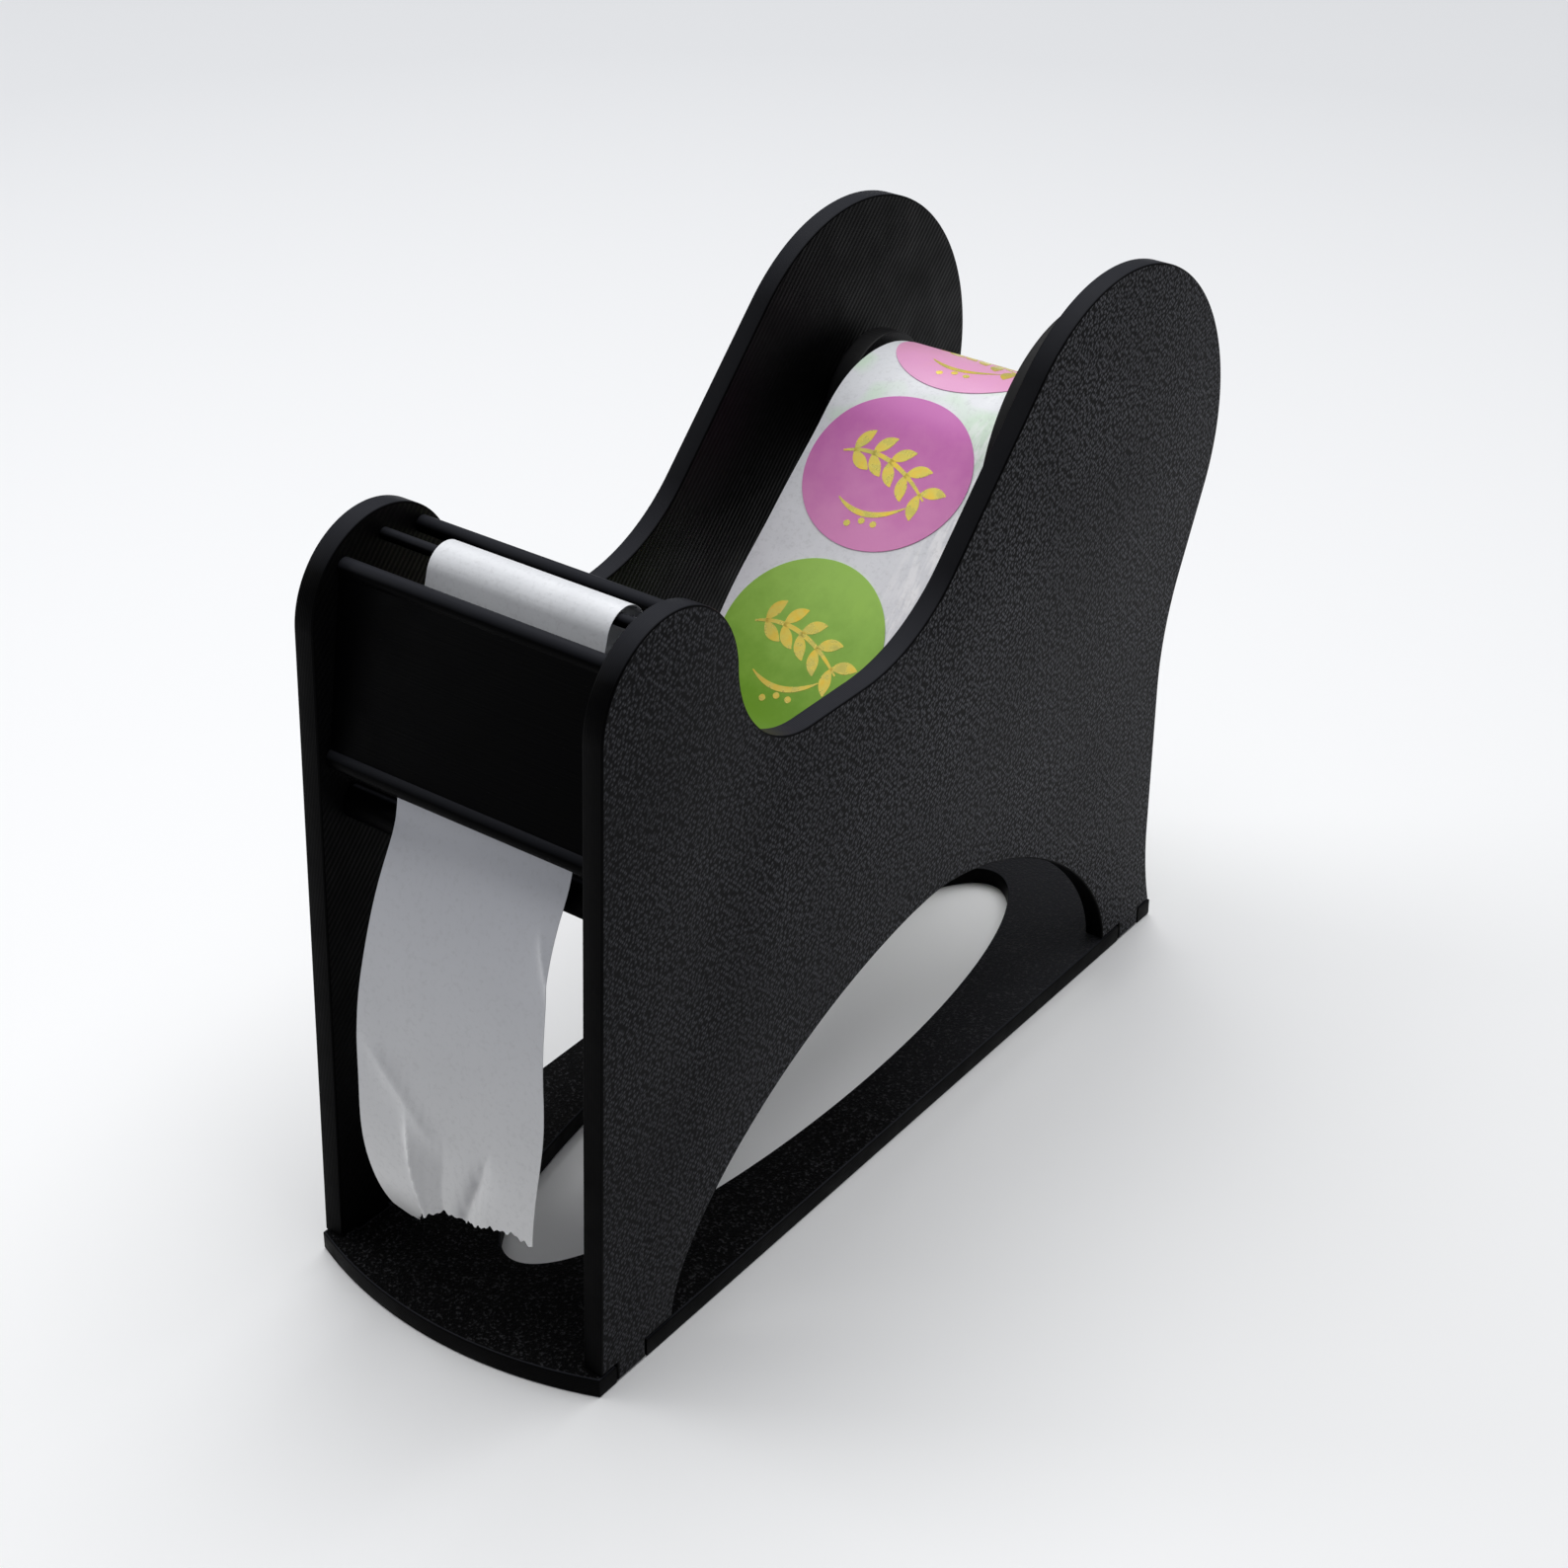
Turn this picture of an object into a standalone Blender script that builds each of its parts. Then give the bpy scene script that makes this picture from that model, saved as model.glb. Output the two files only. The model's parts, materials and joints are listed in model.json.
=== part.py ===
"""Desk label dispenser: a printed stand that feeds round labels from a roll over a peel rod.

Axes: X across the stand, +Y to the rear, +Z up. Lengths are in metres.
Positions in the constants are measured from the front corners of the base, on the desk;
the whole stand is then moved so that the origin is under the middle of its outline.
"""

import math

import bmesh
import bpy

# Stand
WIDTH = 0.0500
PLATE = 0.0032
BASE_THICK = 0.0030
BASE_DEPTH = 0.1420
FRONT_BULGE = 0.0050
BASE_HOLE_WIDTH = 0.0310
BASE_HOLE_FRONT = 0.0115
BASE_HOLE_REAR = 0.0085

# Tabs that lock the side plates into the edge of the base
TAB_WIDTH = 0.0058
TAB_INSET = 0.0038

# Side plate outline
FRONT_FOOT_Y = 0.0005
FRONT_LOBE_Y = 0.0175
FRONT_LOBE_Z = 0.0963
FRONT_LOBE_R = 0.0133
VALLEY_Z = 0.0810
VALLEY_BEND_SHARE = 0.507
REAR_LOBE_SETBACK = 0.0205
REAR_LOBE_Z = 0.0883
REAR_LOBE_R = 0.0308
RAMP_ANGLE = math.radians(45)
BACK_ANGLE = math.radians(25)
WAIST_INSET = 0.0026
WAIST_R = 0.0450
FLARE_HEIGHT = 0.0150
FOOT_INSET = 0.0004

# Arch cut out of the lower edge of each side plate
ARCH_FRONT = 0.0154
ARCH_PEAK = 0.0780
ARCH_REAR = 0.0150
ARCH_TOP = 0.0386
ARCH_POWER = 1.65

# Cross pieces held in blind sockets in the side plates
SOCKET_DEPTH = 0.0016
PEEL_ROD_Y = 0.0180
PEEL_ROD_Z = 0.1059
PEEL_ROD_R = 0.00085
HOLD_ROD_Y = 0.0250
HOLD_ROD_Z = 0.1045
HOLD_ROD_R = 0.0012
GUIDE_ROD_Y = 0.0094
GUIDE_ROD_Z = 0.0705
GUIDE_ROD_R = 0.0024
PANEL_TOP_Y = 0.0106
PANEL_TOP_Z = 0.1042
PANEL_LOW_Y = 0.0063
PANEL_LOW_Z = 0.0785
PANEL_THICK = 0.0018
PANEL_TOP_BEAD_R = 0.0013
PANEL_LOW_BEAD_R = 0.0016

# Axle and its two guide discs
AXLE_R = 0.0030
LEFT_DISC_R = 0.0110
RIGHT_DISC_R = 0.0236
DISC_BACK_SHARE = 0.75
DISC_RIM = 0.0030
DISC_SIDE_GAP = 0.0008

# Label roll, hung on the axle by its card core
LINER_WIDTH = 0.0290
CORE_BORE_R = 0.0127
CORE_WALL = 0.0015
LAPS = 4
LAP_GAP = 0.00045
ROLL_LEAN = math.radians(25)
ROLL_SIDE_GAP = 0.0017
ROLL_LABEL_SHIFT = 0.75

# Liner web and labels
SHEET = 0.0003
LABEL_R = 0.0127
LABEL_PITCH = 0.0281
LABEL_PAST_ROLL = 0.0065
LAP_START = math.radians(28)
WEB_CLEAR = 0.00055
SAG_Y = 0.0587
SAG_Z = 0.0745
SAG_R = 0.0180
PEEL_BEND_R = 0.0035
PEEL_BEND_BACK = 0.0009
TAIL_Y = 0.0943
TAIL_Z = 0.0330
TAIL_R = 0.0950
TAIL_END_Z = 0.0150

# Clearances and facets
FIT = 0.0003
RUN = 0.0003
ARC_STEP = math.radians(6)
SHARP_ANGLE = math.radians(35)
ROUND_SIDES = 64
ROD_SIDES = 20
LAP_SIDES = 48
ARCH_STEPS = 15
BEAD_STEPS = 8
LABEL_SIDES = 28
LABEL_RINGS = (0.55, 1.0)

INNER_HALF = WIDTH / 2 - PLATE
SEAT_Z = BASE_THICK + FIT
REAR_LOBE_Y = BASE_DEPTH - REAR_LOBE_SETBACK
DISC_INNER = LINER_WIDTH / 2 + ROLL_SIDE_GAP
DISC_OUTER = INNER_HALF - DISC_SIDE_GAP
STACK_R = CORE_BORE_R + CORE_WALL + FIT
LAP_PITCH = SHEET + LAP_GAP
ROLL_R = STACK_R + LAPS * LAP_PITCH + SHEET
ROLL_HANG = CORE_BORE_R - AXLE_R - RUN
ROLL_Y = REAR_LOBE_Y - ROLL_HANG * math.sin(ROLL_LEAN)
ROLL_Z = REAR_LOBE_Z - ROLL_HANG * math.cos(ROLL_LEAN)
WEB_R = ROLL_R + 2 * FIT + SHEET + WEB_CLEAR
CENTRE_Y = (REAR_LOBE_Y + REAR_LOBE_R - FRONT_BULGE) / 2

BLACK = (0.011, 0.011, 0.013)
LINER = (0.62, 0.63, 0.65)
CARD = (0.42, 0.33, 0.22)
PINK = (0.66, 0.20, 0.47)
PURPLE = (0.38, 0.07, 0.32)
GREEN = (0.15, 0.28, 0.025)


def clear_scene():
    for item in list(bpy.data.objects):
        bpy.data.objects.remove(item, do_unlink=True)


def make_material(name, colour, roughness):
    material = bpy.data.materials.new(name)
    material.use_nodes = True
    shader = material.node_tree.nodes["Principled BSDF"]
    shader.inputs["Base Color"].default_value = (*colour, 1.0)
    shader.inputs["Roughness"].default_value = roughness
    shader.inputs["Metallic"].default_value = 0.0
    return material


def add_object(name, verts, faces, finish, parent, pivot=(0.0, 0.0, 0.0)):
    """A mesh object under parent, with its origin at pivot in the parent's frame."""
    mesh = bpy.data.meshes.new(name)
    local = [tuple(v[k] - pivot[k] for k in range(3)) for v in verts]
    mesh.from_pydata(local, [], faces)
    shell = bmesh.new()
    shell.from_mesh(mesh)
    bmesh.ops.recalc_face_normals(shell, faces=shell.faces)
    shell.to_mesh(mesh)
    shell.free()
    item = bpy.data.objects.new(name, mesh)
    bpy.context.collection.objects.link(item)
    item.location = pivot
    item.parent = parent
    mesh.shade_smooth()
    mesh.set_sharp_from_angle(angle=SHARP_ANGLE)
    if finish:
        mesh.materials.append(make_material(name, *finish))
    return item


def prism(name, outline, low, high, finish, parent, axis="X"):
    """A closed outline carried straight from low to high: (y, z) along X, or (x, y) along Z."""
    def place(point, level):
        return (level, *point) if axis == "X" else (*point, level)

    count = len(outline)
    verts = [place(p, low) for p in outline] + [place(p, high) for p in outline]
    faces = [list(range(count)), list(range(count, 2 * count))]
    for i in range(count):
        j = (i + 1) % count
        faces.append([i, j, count + j, count + i])
    return add_object(name, verts, faces, finish, parent)


def turned(name, profile, centre, finish, parent, sides):
    """A closed (x, r) profile turned about the X line through centre, (y, z)."""
    verts = []
    for k in range(sides):
        turn = 2 * math.pi * k / sides
        for x, r in profile:
            verts.append((x, centre[0] + r * math.cos(turn), centre[1] + r * math.sin(turn)))
    count = len(profile)
    faces = []
    for k in range(sides):
        here = k * count
        there = ((k + 1) % sides) * count
        for i in range(count):
            j = (i + 1) % count
            faces.append([here + i, here + j, there + j, there + i])
    return add_object(name, verts, faces, finish, parent, pivot=(0.0, *centre))


def circle(centre, radius, sides):
    steps = [2 * math.pi * k / sides for k in range(sides)]
    return [(centre[0] + radius * math.cos(a), centre[1] + radius * math.sin(a)) for a in steps]


def arc(centre, radius, start, end):
    """Points from start to end on a circle, at about ARC_STEP apart."""
    count = max(2, math.ceil(abs(end - start) / ARC_STEP))
    steps = [start + (end - start) * k / count for k in range(count + 1)]
    return [(centre[0] + radius * math.cos(a), centre[1] + radius * math.sin(a)) for a in steps]


def cut(target, cutter):
    """Takes cutter away from target and keeps the cutter as a hidden guide."""
    cutter.hide_render = True
    cutter.display_type = "WIRE"
    change = target.modifiers.new(cutter.name, "BOOLEAN")
    change.operation = "DIFFERENCE"
    change.solver = "EXACT"
    change.object = cutter


def tab_spans():
    """The (start, end) in Y of the front and rear tabs."""
    rear_start = BASE_DEPTH - TAB_INSET - TAB_WIDTH
    return [(TAB_INSET, TAB_INSET + TAB_WIDTH), (rear_start, rear_start + TAB_WIDTH)]


def base_outline():
    """Straight sides and back, a shallow arc in front, and a notch for each tab."""
    half = WIDTH / 2
    depth = PLATE + FIT
    right = []
    for start, end in tab_spans():
        right.append((half, start - FIT))
        right.append((half - depth, start - FIT))
        right.append((half - depth, end + FIT))
        right.append((half, end + FIT))
    left = [(-x, y) for x, y in reversed(right)]
    radius = (half * half + FRONT_BULGE * FRONT_BULGE) / (2 * FRONT_BULGE)
    spread = math.asin(half / radius)
    down = -math.pi / 2
    front = arc((0.0, radius - FRONT_BULGE), radius, down - spread, down + spread)
    return front + right + [(half, BASE_DEPTH), (-half, BASE_DEPTH)] + left


def build_base(parent):
    base = prism("base_plate", base_outline(), 0.0, BASE_THICK, (BLACK, 0.75), parent, axis="Z")
    half_length = (BASE_DEPTH - BASE_HOLE_FRONT - BASE_HOLE_REAR) / 2
    middle = BASE_HOLE_FRONT + half_length
    hole = []
    for k in range(ROUND_SIDES):
        turn = 2 * math.pi * k / ROUND_SIDES
        hole.append((BASE_HOLE_WIDTH / 2 * math.cos(turn), middle + half_length * math.sin(turn)))
    cut(base, prism("base_hole", hole, -BASE_THICK, 2 * BASE_THICK, None, parent, axis="Z"))


def arch_points():
    """The arch: z rises as (1 - u**p)**(1/p), where u runs from 1 at each foot to 0 at the peak."""
    rise = ARCH_TOP - SEAT_Z
    points = []
    for start in (ARCH_FRONT, BASE_DEPTH - ARCH_REAR):
        half = []
        for k in range(ARCH_STEPS + 1):
            u = math.cos(math.pi / 2 * k / ARCH_STEPS)
            height = max(0.0, 1 - u ** ARCH_POWER) ** (1 / ARCH_POWER)
            half.append((ARCH_PEAK + (start - ARCH_PEAK) * u, SEAT_Z + rise * height))
        points += half if start < ARCH_PEAK else half[-2::-1]
    return points


def foot_points():
    """The lower edge from front to rear, with its two tabs and the arch between them."""
    tabs = []
    for start, end in tab_spans():
        tabs.append([(start, SEAT_Z), (start, FIT), (end, FIT), (end, SEAT_Z)])
    return tabs[0] + arch_points() + tabs[1]


def back_points():
    """The rear edge, upwards: flared foot, straight waist, and the lean into the rear lobe."""
    foot_y = BASE_DEPTH - FOOT_INSET
    waist_y = BASE_DEPTH - WAIST_INSET
    flare = foot_y - waist_y
    flare_r = (FLARE_HEIGHT ** 2 + flare ** 2) / (2 * flare)
    flare_turn = math.asin(FLARE_HEIGHT / flare_r)
    flare_top = (waist_y + flare_r, SEAT_Z + FLARE_HEIGHT)
    points = arc(flare_top, flare_r, math.pi + flare_turn, math.pi)
    touch_y = REAR_LOBE_Y + REAR_LOBE_R * math.cos(BACK_ANGLE)
    touch_z = REAR_LOBE_Z - REAR_LOBE_R * math.sin(BACK_ANGLE)
    corner_z = touch_z - (touch_y - waist_y) / math.tan(BACK_ANGLE)
    waist_z = corner_z - WAIST_R * math.tan(BACK_ANGLE / 2)
    points += arc((waist_y + WAIST_R, waist_z), WAIST_R, math.pi, math.pi - BACK_ANGLE)
    return points


def top_points():
    """The upper edge from the rear lobe, down the ramp and through the valley to the front lobe."""
    up = math.pi / 2
    points = arc((REAR_LOBE_Y, REAR_LOBE_Z), REAR_LOBE_R, -BACK_ANGLE, up + RAMP_ANGLE)
    ramp_y, ramp_z = points[-1]
    corner_y = ramp_y - (ramp_z - VALLEY_Z) / math.tan(RAMP_ANGLE)
    front_r = FRONT_LOBE_Z - VALLEY_Z
    front_y = FRONT_LOBE_Y + FRONT_LOBE_R + front_r
    bend = VALLEY_BEND_SHARE * (corner_y - front_y)
    bend_r = bend / math.tan(RAMP_ANGLE / 2)
    points += arc((corner_y - bend, VALLEY_Z + bend_r), bend_r, -up + RAMP_ANGLE, -up)
    points += arc((front_y, FRONT_LOBE_Z), front_r, -up, -2 * up)
    reach_y = FRONT_LOBE_Y - FRONT_FOOT_Y
    reach_z = FRONT_LOBE_Z - SEAT_Z
    reach = math.hypot(reach_y, reach_z)
    lean = math.atan2(reach_y, reach_z)
    front_turn = math.pi - lean + math.asin(FRONT_LOBE_R / reach)
    lobe = arc((FRONT_LOBE_Y, FRONT_LOBE_Z), FRONT_LOBE_R, 0.0, front_turn)
    return points + lobe[1:] + [(FRONT_FOOT_Y, SEAT_Z)]


def panel_outline(grow):
    """The panel's section: a thin wall whose half thickness swells into a round bead at each end."""
    run_y = PANEL_LOW_Y - PANEL_TOP_Y
    run_z = PANEL_LOW_Z - PANEL_TOP_Z
    length = math.hypot(run_y, run_z)
    along = (run_y / length, run_z / length)
    side = (-along[1], along[0])
    stations = []
    for centre, bead in ((0.0, PANEL_TOP_BEAD_R + grow), (length, PANEL_LOW_BEAD_R + grow)):
        neck = math.asin((PANEL_THICK / 2 + grow) / bead)
        ends = (-math.pi / 2, math.pi / 2 - neck) if centre == 0.0 else (neck - math.pi / 2, math.pi / 2)
        for k in range(BEAD_STEPS + 1):
            turn = ends[0] + (ends[1] - ends[0]) * k / BEAD_STEPS
            stations.append((centre + bead * math.sin(turn), max(bead * math.cos(turn), 0.0)))
    near = [(PANEL_TOP_Y + along[0] * s + side[0] * h, PANEL_TOP_Z + along[1] * s + side[1] * h)
            for s, h in stations]
    far = [(PANEL_TOP_Y + along[0] * s - side[0] * h, PANEL_TOP_Z + along[1] * s - side[1] * h)
           for s, h in stations[-2:0:-1]]
    return near + far


def cross_sections(grow):
    """The section of each cross piece in (y, z), grown by a clearance for its socket."""
    return {
        "front_panel": panel_outline(grow),
        "peel_rod": circle((PEEL_ROD_Y, PEEL_ROD_Z), PEEL_ROD_R + grow, ROD_SIDES),
        "hold_down_rod": circle((HOLD_ROD_Y, HOLD_ROD_Z), HOLD_ROD_R + grow, ROD_SIDES),
        "tail_guide_rod": circle((GUIDE_ROD_Y, GUIDE_ROD_Z), GUIDE_ROD_R + grow, ROD_SIDES),
    }


def build_side_plate(name, side, parent):
    outline = foot_points() + back_points() + top_points()
    inner = side * INNER_HALF
    plate = prism(name, outline, inner, side * WIDTH / 2, (BLACK, 0.7), parent)
    floor = inner + side * (SOCKET_DEPTH + FIT)
    sockets = cross_sections(FIT)
    sockets["axle"] = circle((REAR_LOBE_Y, REAR_LOBE_Z), AXLE_R + RUN, ROUND_SIDES // 2)
    for key, section in sockets.items():
        cut(plate, prism(name + "_socket_" + key, section, inner - side * PLATE, floor, None, parent))


def build_cross_pieces(parent):
    reach = INNER_HALF + SOCKET_DEPTH
    for key, section in cross_sections(0.0).items():
        prism(key, section, -reach, reach, (BLACK, 0.45), parent)


def build_axle(parent):
    reach = INNER_HALF + SOCKET_DEPTH
    centre = (REAR_LOBE_Y, REAR_LOBE_Z)
    bar = prism("roll_axle", circle((0.0, 0.0), AXLE_R, ROUND_SIDES // 2), -reach, reach, (BLACK, 0.5), parent)
    bar.location = (0.0, *centre)
    bore = AXLE_R + FIT
    for name, side, radius in (("guide_disc_left", -1, LEFT_DISC_R), ("guide_disc_right", 1, RIGHT_DISC_R)):
        profile = [(DISC_INNER, bore), (DISC_INNER, radius), (DISC_INNER + DISC_RIM, radius),
                   (DISC_OUTER, DISC_BACK_SHARE * radius), (DISC_OUTER, bore)]
        profile = [(side * x, r) for x, r in profile]
        turned(name, profile, centre, (BLACK, 0.6), parent, ROUND_SIDES)


class WebPath:
    """A path of arcs joined by straight tangents, like a belt over pulleys.

    Each pulley is (centre, radius, turn), where turn is +1 for a left-hand bend and -1 for a right-hand one.
    The path starts at an angle on the first pulley and ends at an angle on the last.
    """

    def __init__(self, pulleys, start, end):
        self.pieces = []
        self.length = 0.0
        enter = start
        for first, second in zip(pulleys, pulleys[1:]):
            leave, arrive = self.tangent(first, second)
            self.add_arc(first, enter, leave)
            self.add_line(self.on(first, leave), self.on(second, arrive))
            enter = arrive
        self.add_arc(pulleys[-1], enter, end)

    @staticmethod
    def on(pulley, angle):
        centre, radius, _ = pulley
        return (centre[0] + radius * math.cos(angle), centre[1] + radius * math.sin(angle))

    @staticmethod
    def tangent(first, second):
        """Angles on the two pulleys where their common tangent leaves and arrives."""
        dy = second[0][0] - first[0][0]
        dz = second[0][1] - first[0][1]
        offset = second[2] * second[1] - first[2] * first[1]
        heading = math.atan2(dz, dy) - math.asin(offset / math.hypot(dy, dz))
        return (heading - first[2] * math.pi / 2, heading - second[2] * math.pi / 2)

    def add_arc(self, pulley, enter, leave):
        sweep = ((leave - enter) * pulley[2]) % (2 * math.pi)
        size = sweep * pulley[1]
        self.pieces.append(("arc", self.length, size, pulley, enter))
        self.length += size

    def add_line(self, start, end):
        size = math.hypot(end[0] - start[0], end[1] - start[1])
        self.pieces.append(("line", self.length, size, start, end))
        self.length += size

    def at(self, s):
        """Position and left-hand normal, both in (y, z), at length s along the path."""
        piece = self.pieces[0]
        for candidate in self.pieces:
            if s >= candidate[1]:
                piece = candidate
        kind, begin, size, first, second = piece
        if kind == "line":
            step = (s - begin) / size
            along = ((second[0] - first[0]) / size, (second[1] - first[1]) / size)
            spot = (first[0] + (second[0] - first[0]) * step, first[1] + (second[1] - first[1]) * step)
            return spot, (-along[1], along[0])
        angle = second + first[2] * (s - begin) / first[1]
        inward = -first[2]
        return self.on(first, angle), (inward * math.cos(angle), inward * math.sin(angle))

    def stations(self, straight_step):
        """Lengths along the path: arcs at about ARC_STEP, lines at straight_step."""
        found = []
        for kind, begin, size, first, _ in self.pieces:
            step = straight_step if kind == "line" else max(first[1] * ARC_STEP, SHEET)
            count = max(1, math.ceil(size / step))
            found += [begin + size * k / count for k in range(count)]
        return found + [self.length]


def ribbon(name, centre_line, half_width, finish, parent, pivot=(0.0, 0.0, 0.0)):
    """A strip of thickness SHEET; centre_line holds ((y, z), normal) pairs."""
    verts = []
    for (y, z), (ny, nz) in centre_line:
        for x, lift in ((-half_width, -1), (half_width, -1), (half_width, 1), (-half_width, 1)):
            verts.append((x, y + ny * lift * SHEET / 2, z + nz * lift * SHEET / 2))
    faces = [[0, 1, 2, 3]]
    for k in range(len(centre_line) - 1):
        here = 4 * k
        for i in range(4):
            j = (i + 1) % 4
            faces.append([here + i, here + j, here + 4 + j, here + 4 + i])
    last = 4 * (len(centre_line) - 1)
    faces.append([last + 3, last + 2, last + 1, last])
    return add_object(name, verts, faces, finish, parent, pivot)


def label(name, place, finish, parent, pivot=(0.0, 0.0, 0.0)):
    """A round label bent over a sheet: place(u, lift) gives (y, z) at u along it and lift above it."""
    sides = LABEL_SIDES
    verts = []
    for lift in (SHEET / 2 + FIT, SHEET / 2 + FIT + SHEET):
        verts.append((0.0, *place(0.0, lift)))
        for ring in LABEL_RINGS:
            for k in range(sides):
                turn = 2 * math.pi * k / sides
                spot = place(LABEL_R * ring * math.sin(turn), lift)
                verts.append((LABEL_R * ring * math.cos(turn), *spot))
    layer = 1 + len(LABEL_RINGS) * sides
    faces = []
    for k in range(sides):
        n = (k + 1) % sides
        for base in (0, layer):
            faces.append([base, base + 1 + k, base + 1 + n])
            faces.append([base + 1 + k, base + 1 + sides + k, base + 1 + sides + n, base + 1 + n])
        rim = 1 + sides
        faces.append([rim + k, rim + n, layer + rim + n, layer + rim + k])
    return add_object(name, verts, faces, finish, parent, pivot)


def build_web(parent):
    """The liner from the top of the roll, round its slack, over the peel rod and down to the torn tail."""
    peel_z = PEEL_ROD_Z + PEEL_ROD_R + 1.5 * FIT + SHEET / 2 - PEEL_BEND_R
    pulleys = [((ROLL_Y, ROLL_Z), WEB_R, 1), ((SAG_Y, SAG_Z), SAG_R, -1),
               ((PEEL_ROD_Y + PEEL_BEND_BACK, peel_z), PEEL_BEND_R, 1), ((TAIL_Y, TAIL_Z), TAIL_R, 1)]
    end = math.pi + math.asin((TAIL_Z - TAIL_END_Z) / TAIL_R)
    path = WebPath(pulleys, LAP_START, end)
    line = [path.at(s) for s in path.stations(LABEL_R)]
    ribbon("liner_web", line, LINER_WIDTH / 2, (LINER, 0.35), parent)

    tangent_at = path.pieces[1][1]
    peel_at = path.pieces[4][1]
    first = tangent_at + LABEL_PAST_ROLL - LABEL_PITCH
    colours = (PINK, PURPLE, GREEN)
    count = math.floor((peel_at - LABEL_R - first) / LABEL_PITCH) + 1
    for k in range(count):
        middle = first + k * LABEL_PITCH

        def place(u, lift, middle=middle):
            spot, normal = path.at(middle + u)
            return (spot[0] - normal[0] * lift, spot[1] - normal[1] * lift)

        label("label_%d" % (k + 1), place, (colours[k % len(colours)], 0.3), parent)


def build_roll(parent):
    """The card core, the wound liner and the labels on its outer lap."""
    centre = (ROLL_Y, ROLL_Z)
    pivot = (0.0, *centre)
    half = LINER_WIDTH / 2
    outer = CORE_BORE_R + CORE_WALL
    profile = [(-half, CORE_BORE_R), (-half, outer), (half, outer), (half, CORE_BORE_R)]
    turned("roll_core", profile, centre, (CARD, 0.85), parent, ROUND_SIDES)

    line = []
    for k in range(LAPS * LAP_SIDES + 1):
        turn = 2 * math.pi * k / LAP_SIDES
        radius = STACK_R + SHEET / 2 + LAP_PITCH * k / LAP_SIDES
        out = (math.cos(turn), math.sin(turn))
        line.append(((ROLL_Y + radius * out[0], ROLL_Z + radius * out[1]), out))
    ribbon("label_roll", line, half, (LINER, 0.4), parent, pivot)
    chord_dip = ROLL_R * (1 - math.cos(math.pi / LAP_SIDES))
    print("least gap between laps: %.2f mm" % (1000 * (LAP_GAP - chord_dip)))

    lap_end = STACK_R + SHEET / 2 + LAP_PITCH * LAPS
    for k, colour in enumerate((GREEN, PURPLE)):
        middle = -LABEL_PITCH * (k + ROLL_LABEL_SHIFT) / ROLL_R

        def place(u, lift, middle=middle):
            turn = middle + u / lap_end
            radius = lap_end + lift
            return (ROLL_Y + radius * math.cos(turn), ROLL_Z + radius * math.sin(turn))

        label("roll_label_%d" % (k + 1), place, (colour, 0.3), parent, pivot)


def build():
    clear_scene()
    stand = bpy.data.objects.new("stand", None)
    stand.location = (0.0, -CENTRE_Y, 0.0)
    bpy.context.collection.objects.link(stand)
    build_base(stand)
    build_side_plate("side_plate_left", -1, stand)
    build_side_plate("side_plate_right", 1, stand)
    build_cross_pieces(stand)
    build_axle(stand)
    build_web(stand)
    build_roll(stand)


build()
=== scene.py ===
"""Looks of the desk label dispenser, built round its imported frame.

Lengths here are millimetres in the stand's own axes: X across, Y back from the front corners of
the base, Z up from the desk. to_frame() turns them into the frame's metres.
"""

import json
import math

import bpy
import numpy as np
from mathutils import Matrix, Vector
from mathutils.geometry import tessellate_polygon


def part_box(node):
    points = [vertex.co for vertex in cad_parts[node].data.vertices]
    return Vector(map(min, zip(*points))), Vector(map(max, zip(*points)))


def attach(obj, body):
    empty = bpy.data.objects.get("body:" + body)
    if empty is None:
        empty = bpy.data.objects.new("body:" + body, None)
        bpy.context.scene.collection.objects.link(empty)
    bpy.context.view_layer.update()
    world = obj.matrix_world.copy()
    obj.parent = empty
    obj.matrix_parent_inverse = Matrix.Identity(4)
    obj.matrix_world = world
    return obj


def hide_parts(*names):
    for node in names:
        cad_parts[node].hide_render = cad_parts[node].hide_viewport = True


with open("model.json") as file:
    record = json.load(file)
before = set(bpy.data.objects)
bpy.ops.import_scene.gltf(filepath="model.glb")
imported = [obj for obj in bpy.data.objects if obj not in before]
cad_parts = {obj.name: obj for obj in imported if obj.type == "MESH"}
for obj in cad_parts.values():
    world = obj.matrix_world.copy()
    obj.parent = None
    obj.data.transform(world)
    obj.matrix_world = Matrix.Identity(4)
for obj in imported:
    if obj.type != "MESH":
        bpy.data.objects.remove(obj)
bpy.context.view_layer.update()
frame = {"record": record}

MM = 0.001
FULL_TURN = 2 * math.pi
QUARTER = math.pi / 2


def node_box(node):
    """The two corners of a CAD node, in millimetres of the frame."""
    return [np.array(corner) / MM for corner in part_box(node)]


def joint_spot(name):
    """A joint's (y, z) in the stand's axes."""
    joint = next(j for j in frame["record"]["behaviour"]["joints"] if j["name"] == name)
    return np.array([joint["pos_m"][1] / MM - FRONT_Y, joint["pos_m"][2] / MM])


# Sizes read from the frame
FRONT_BULGE = 5.0
base_low, base_high = node_box("base_plate")
plate_low, plate_high = node_box("side_plate_right")
HALF_WIDTH = plate_high[0]
INNER_HALF = plate_low[0]
BASE_THICK = base_high[2]
FRONT_Y = base_low[1] + FRONT_BULGE
BASE_DEPTH = base_high[1] - FRONT_Y
ROLL = joint_spot("roll_spin")
LOBE = joint_spot("axle_spin")

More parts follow.
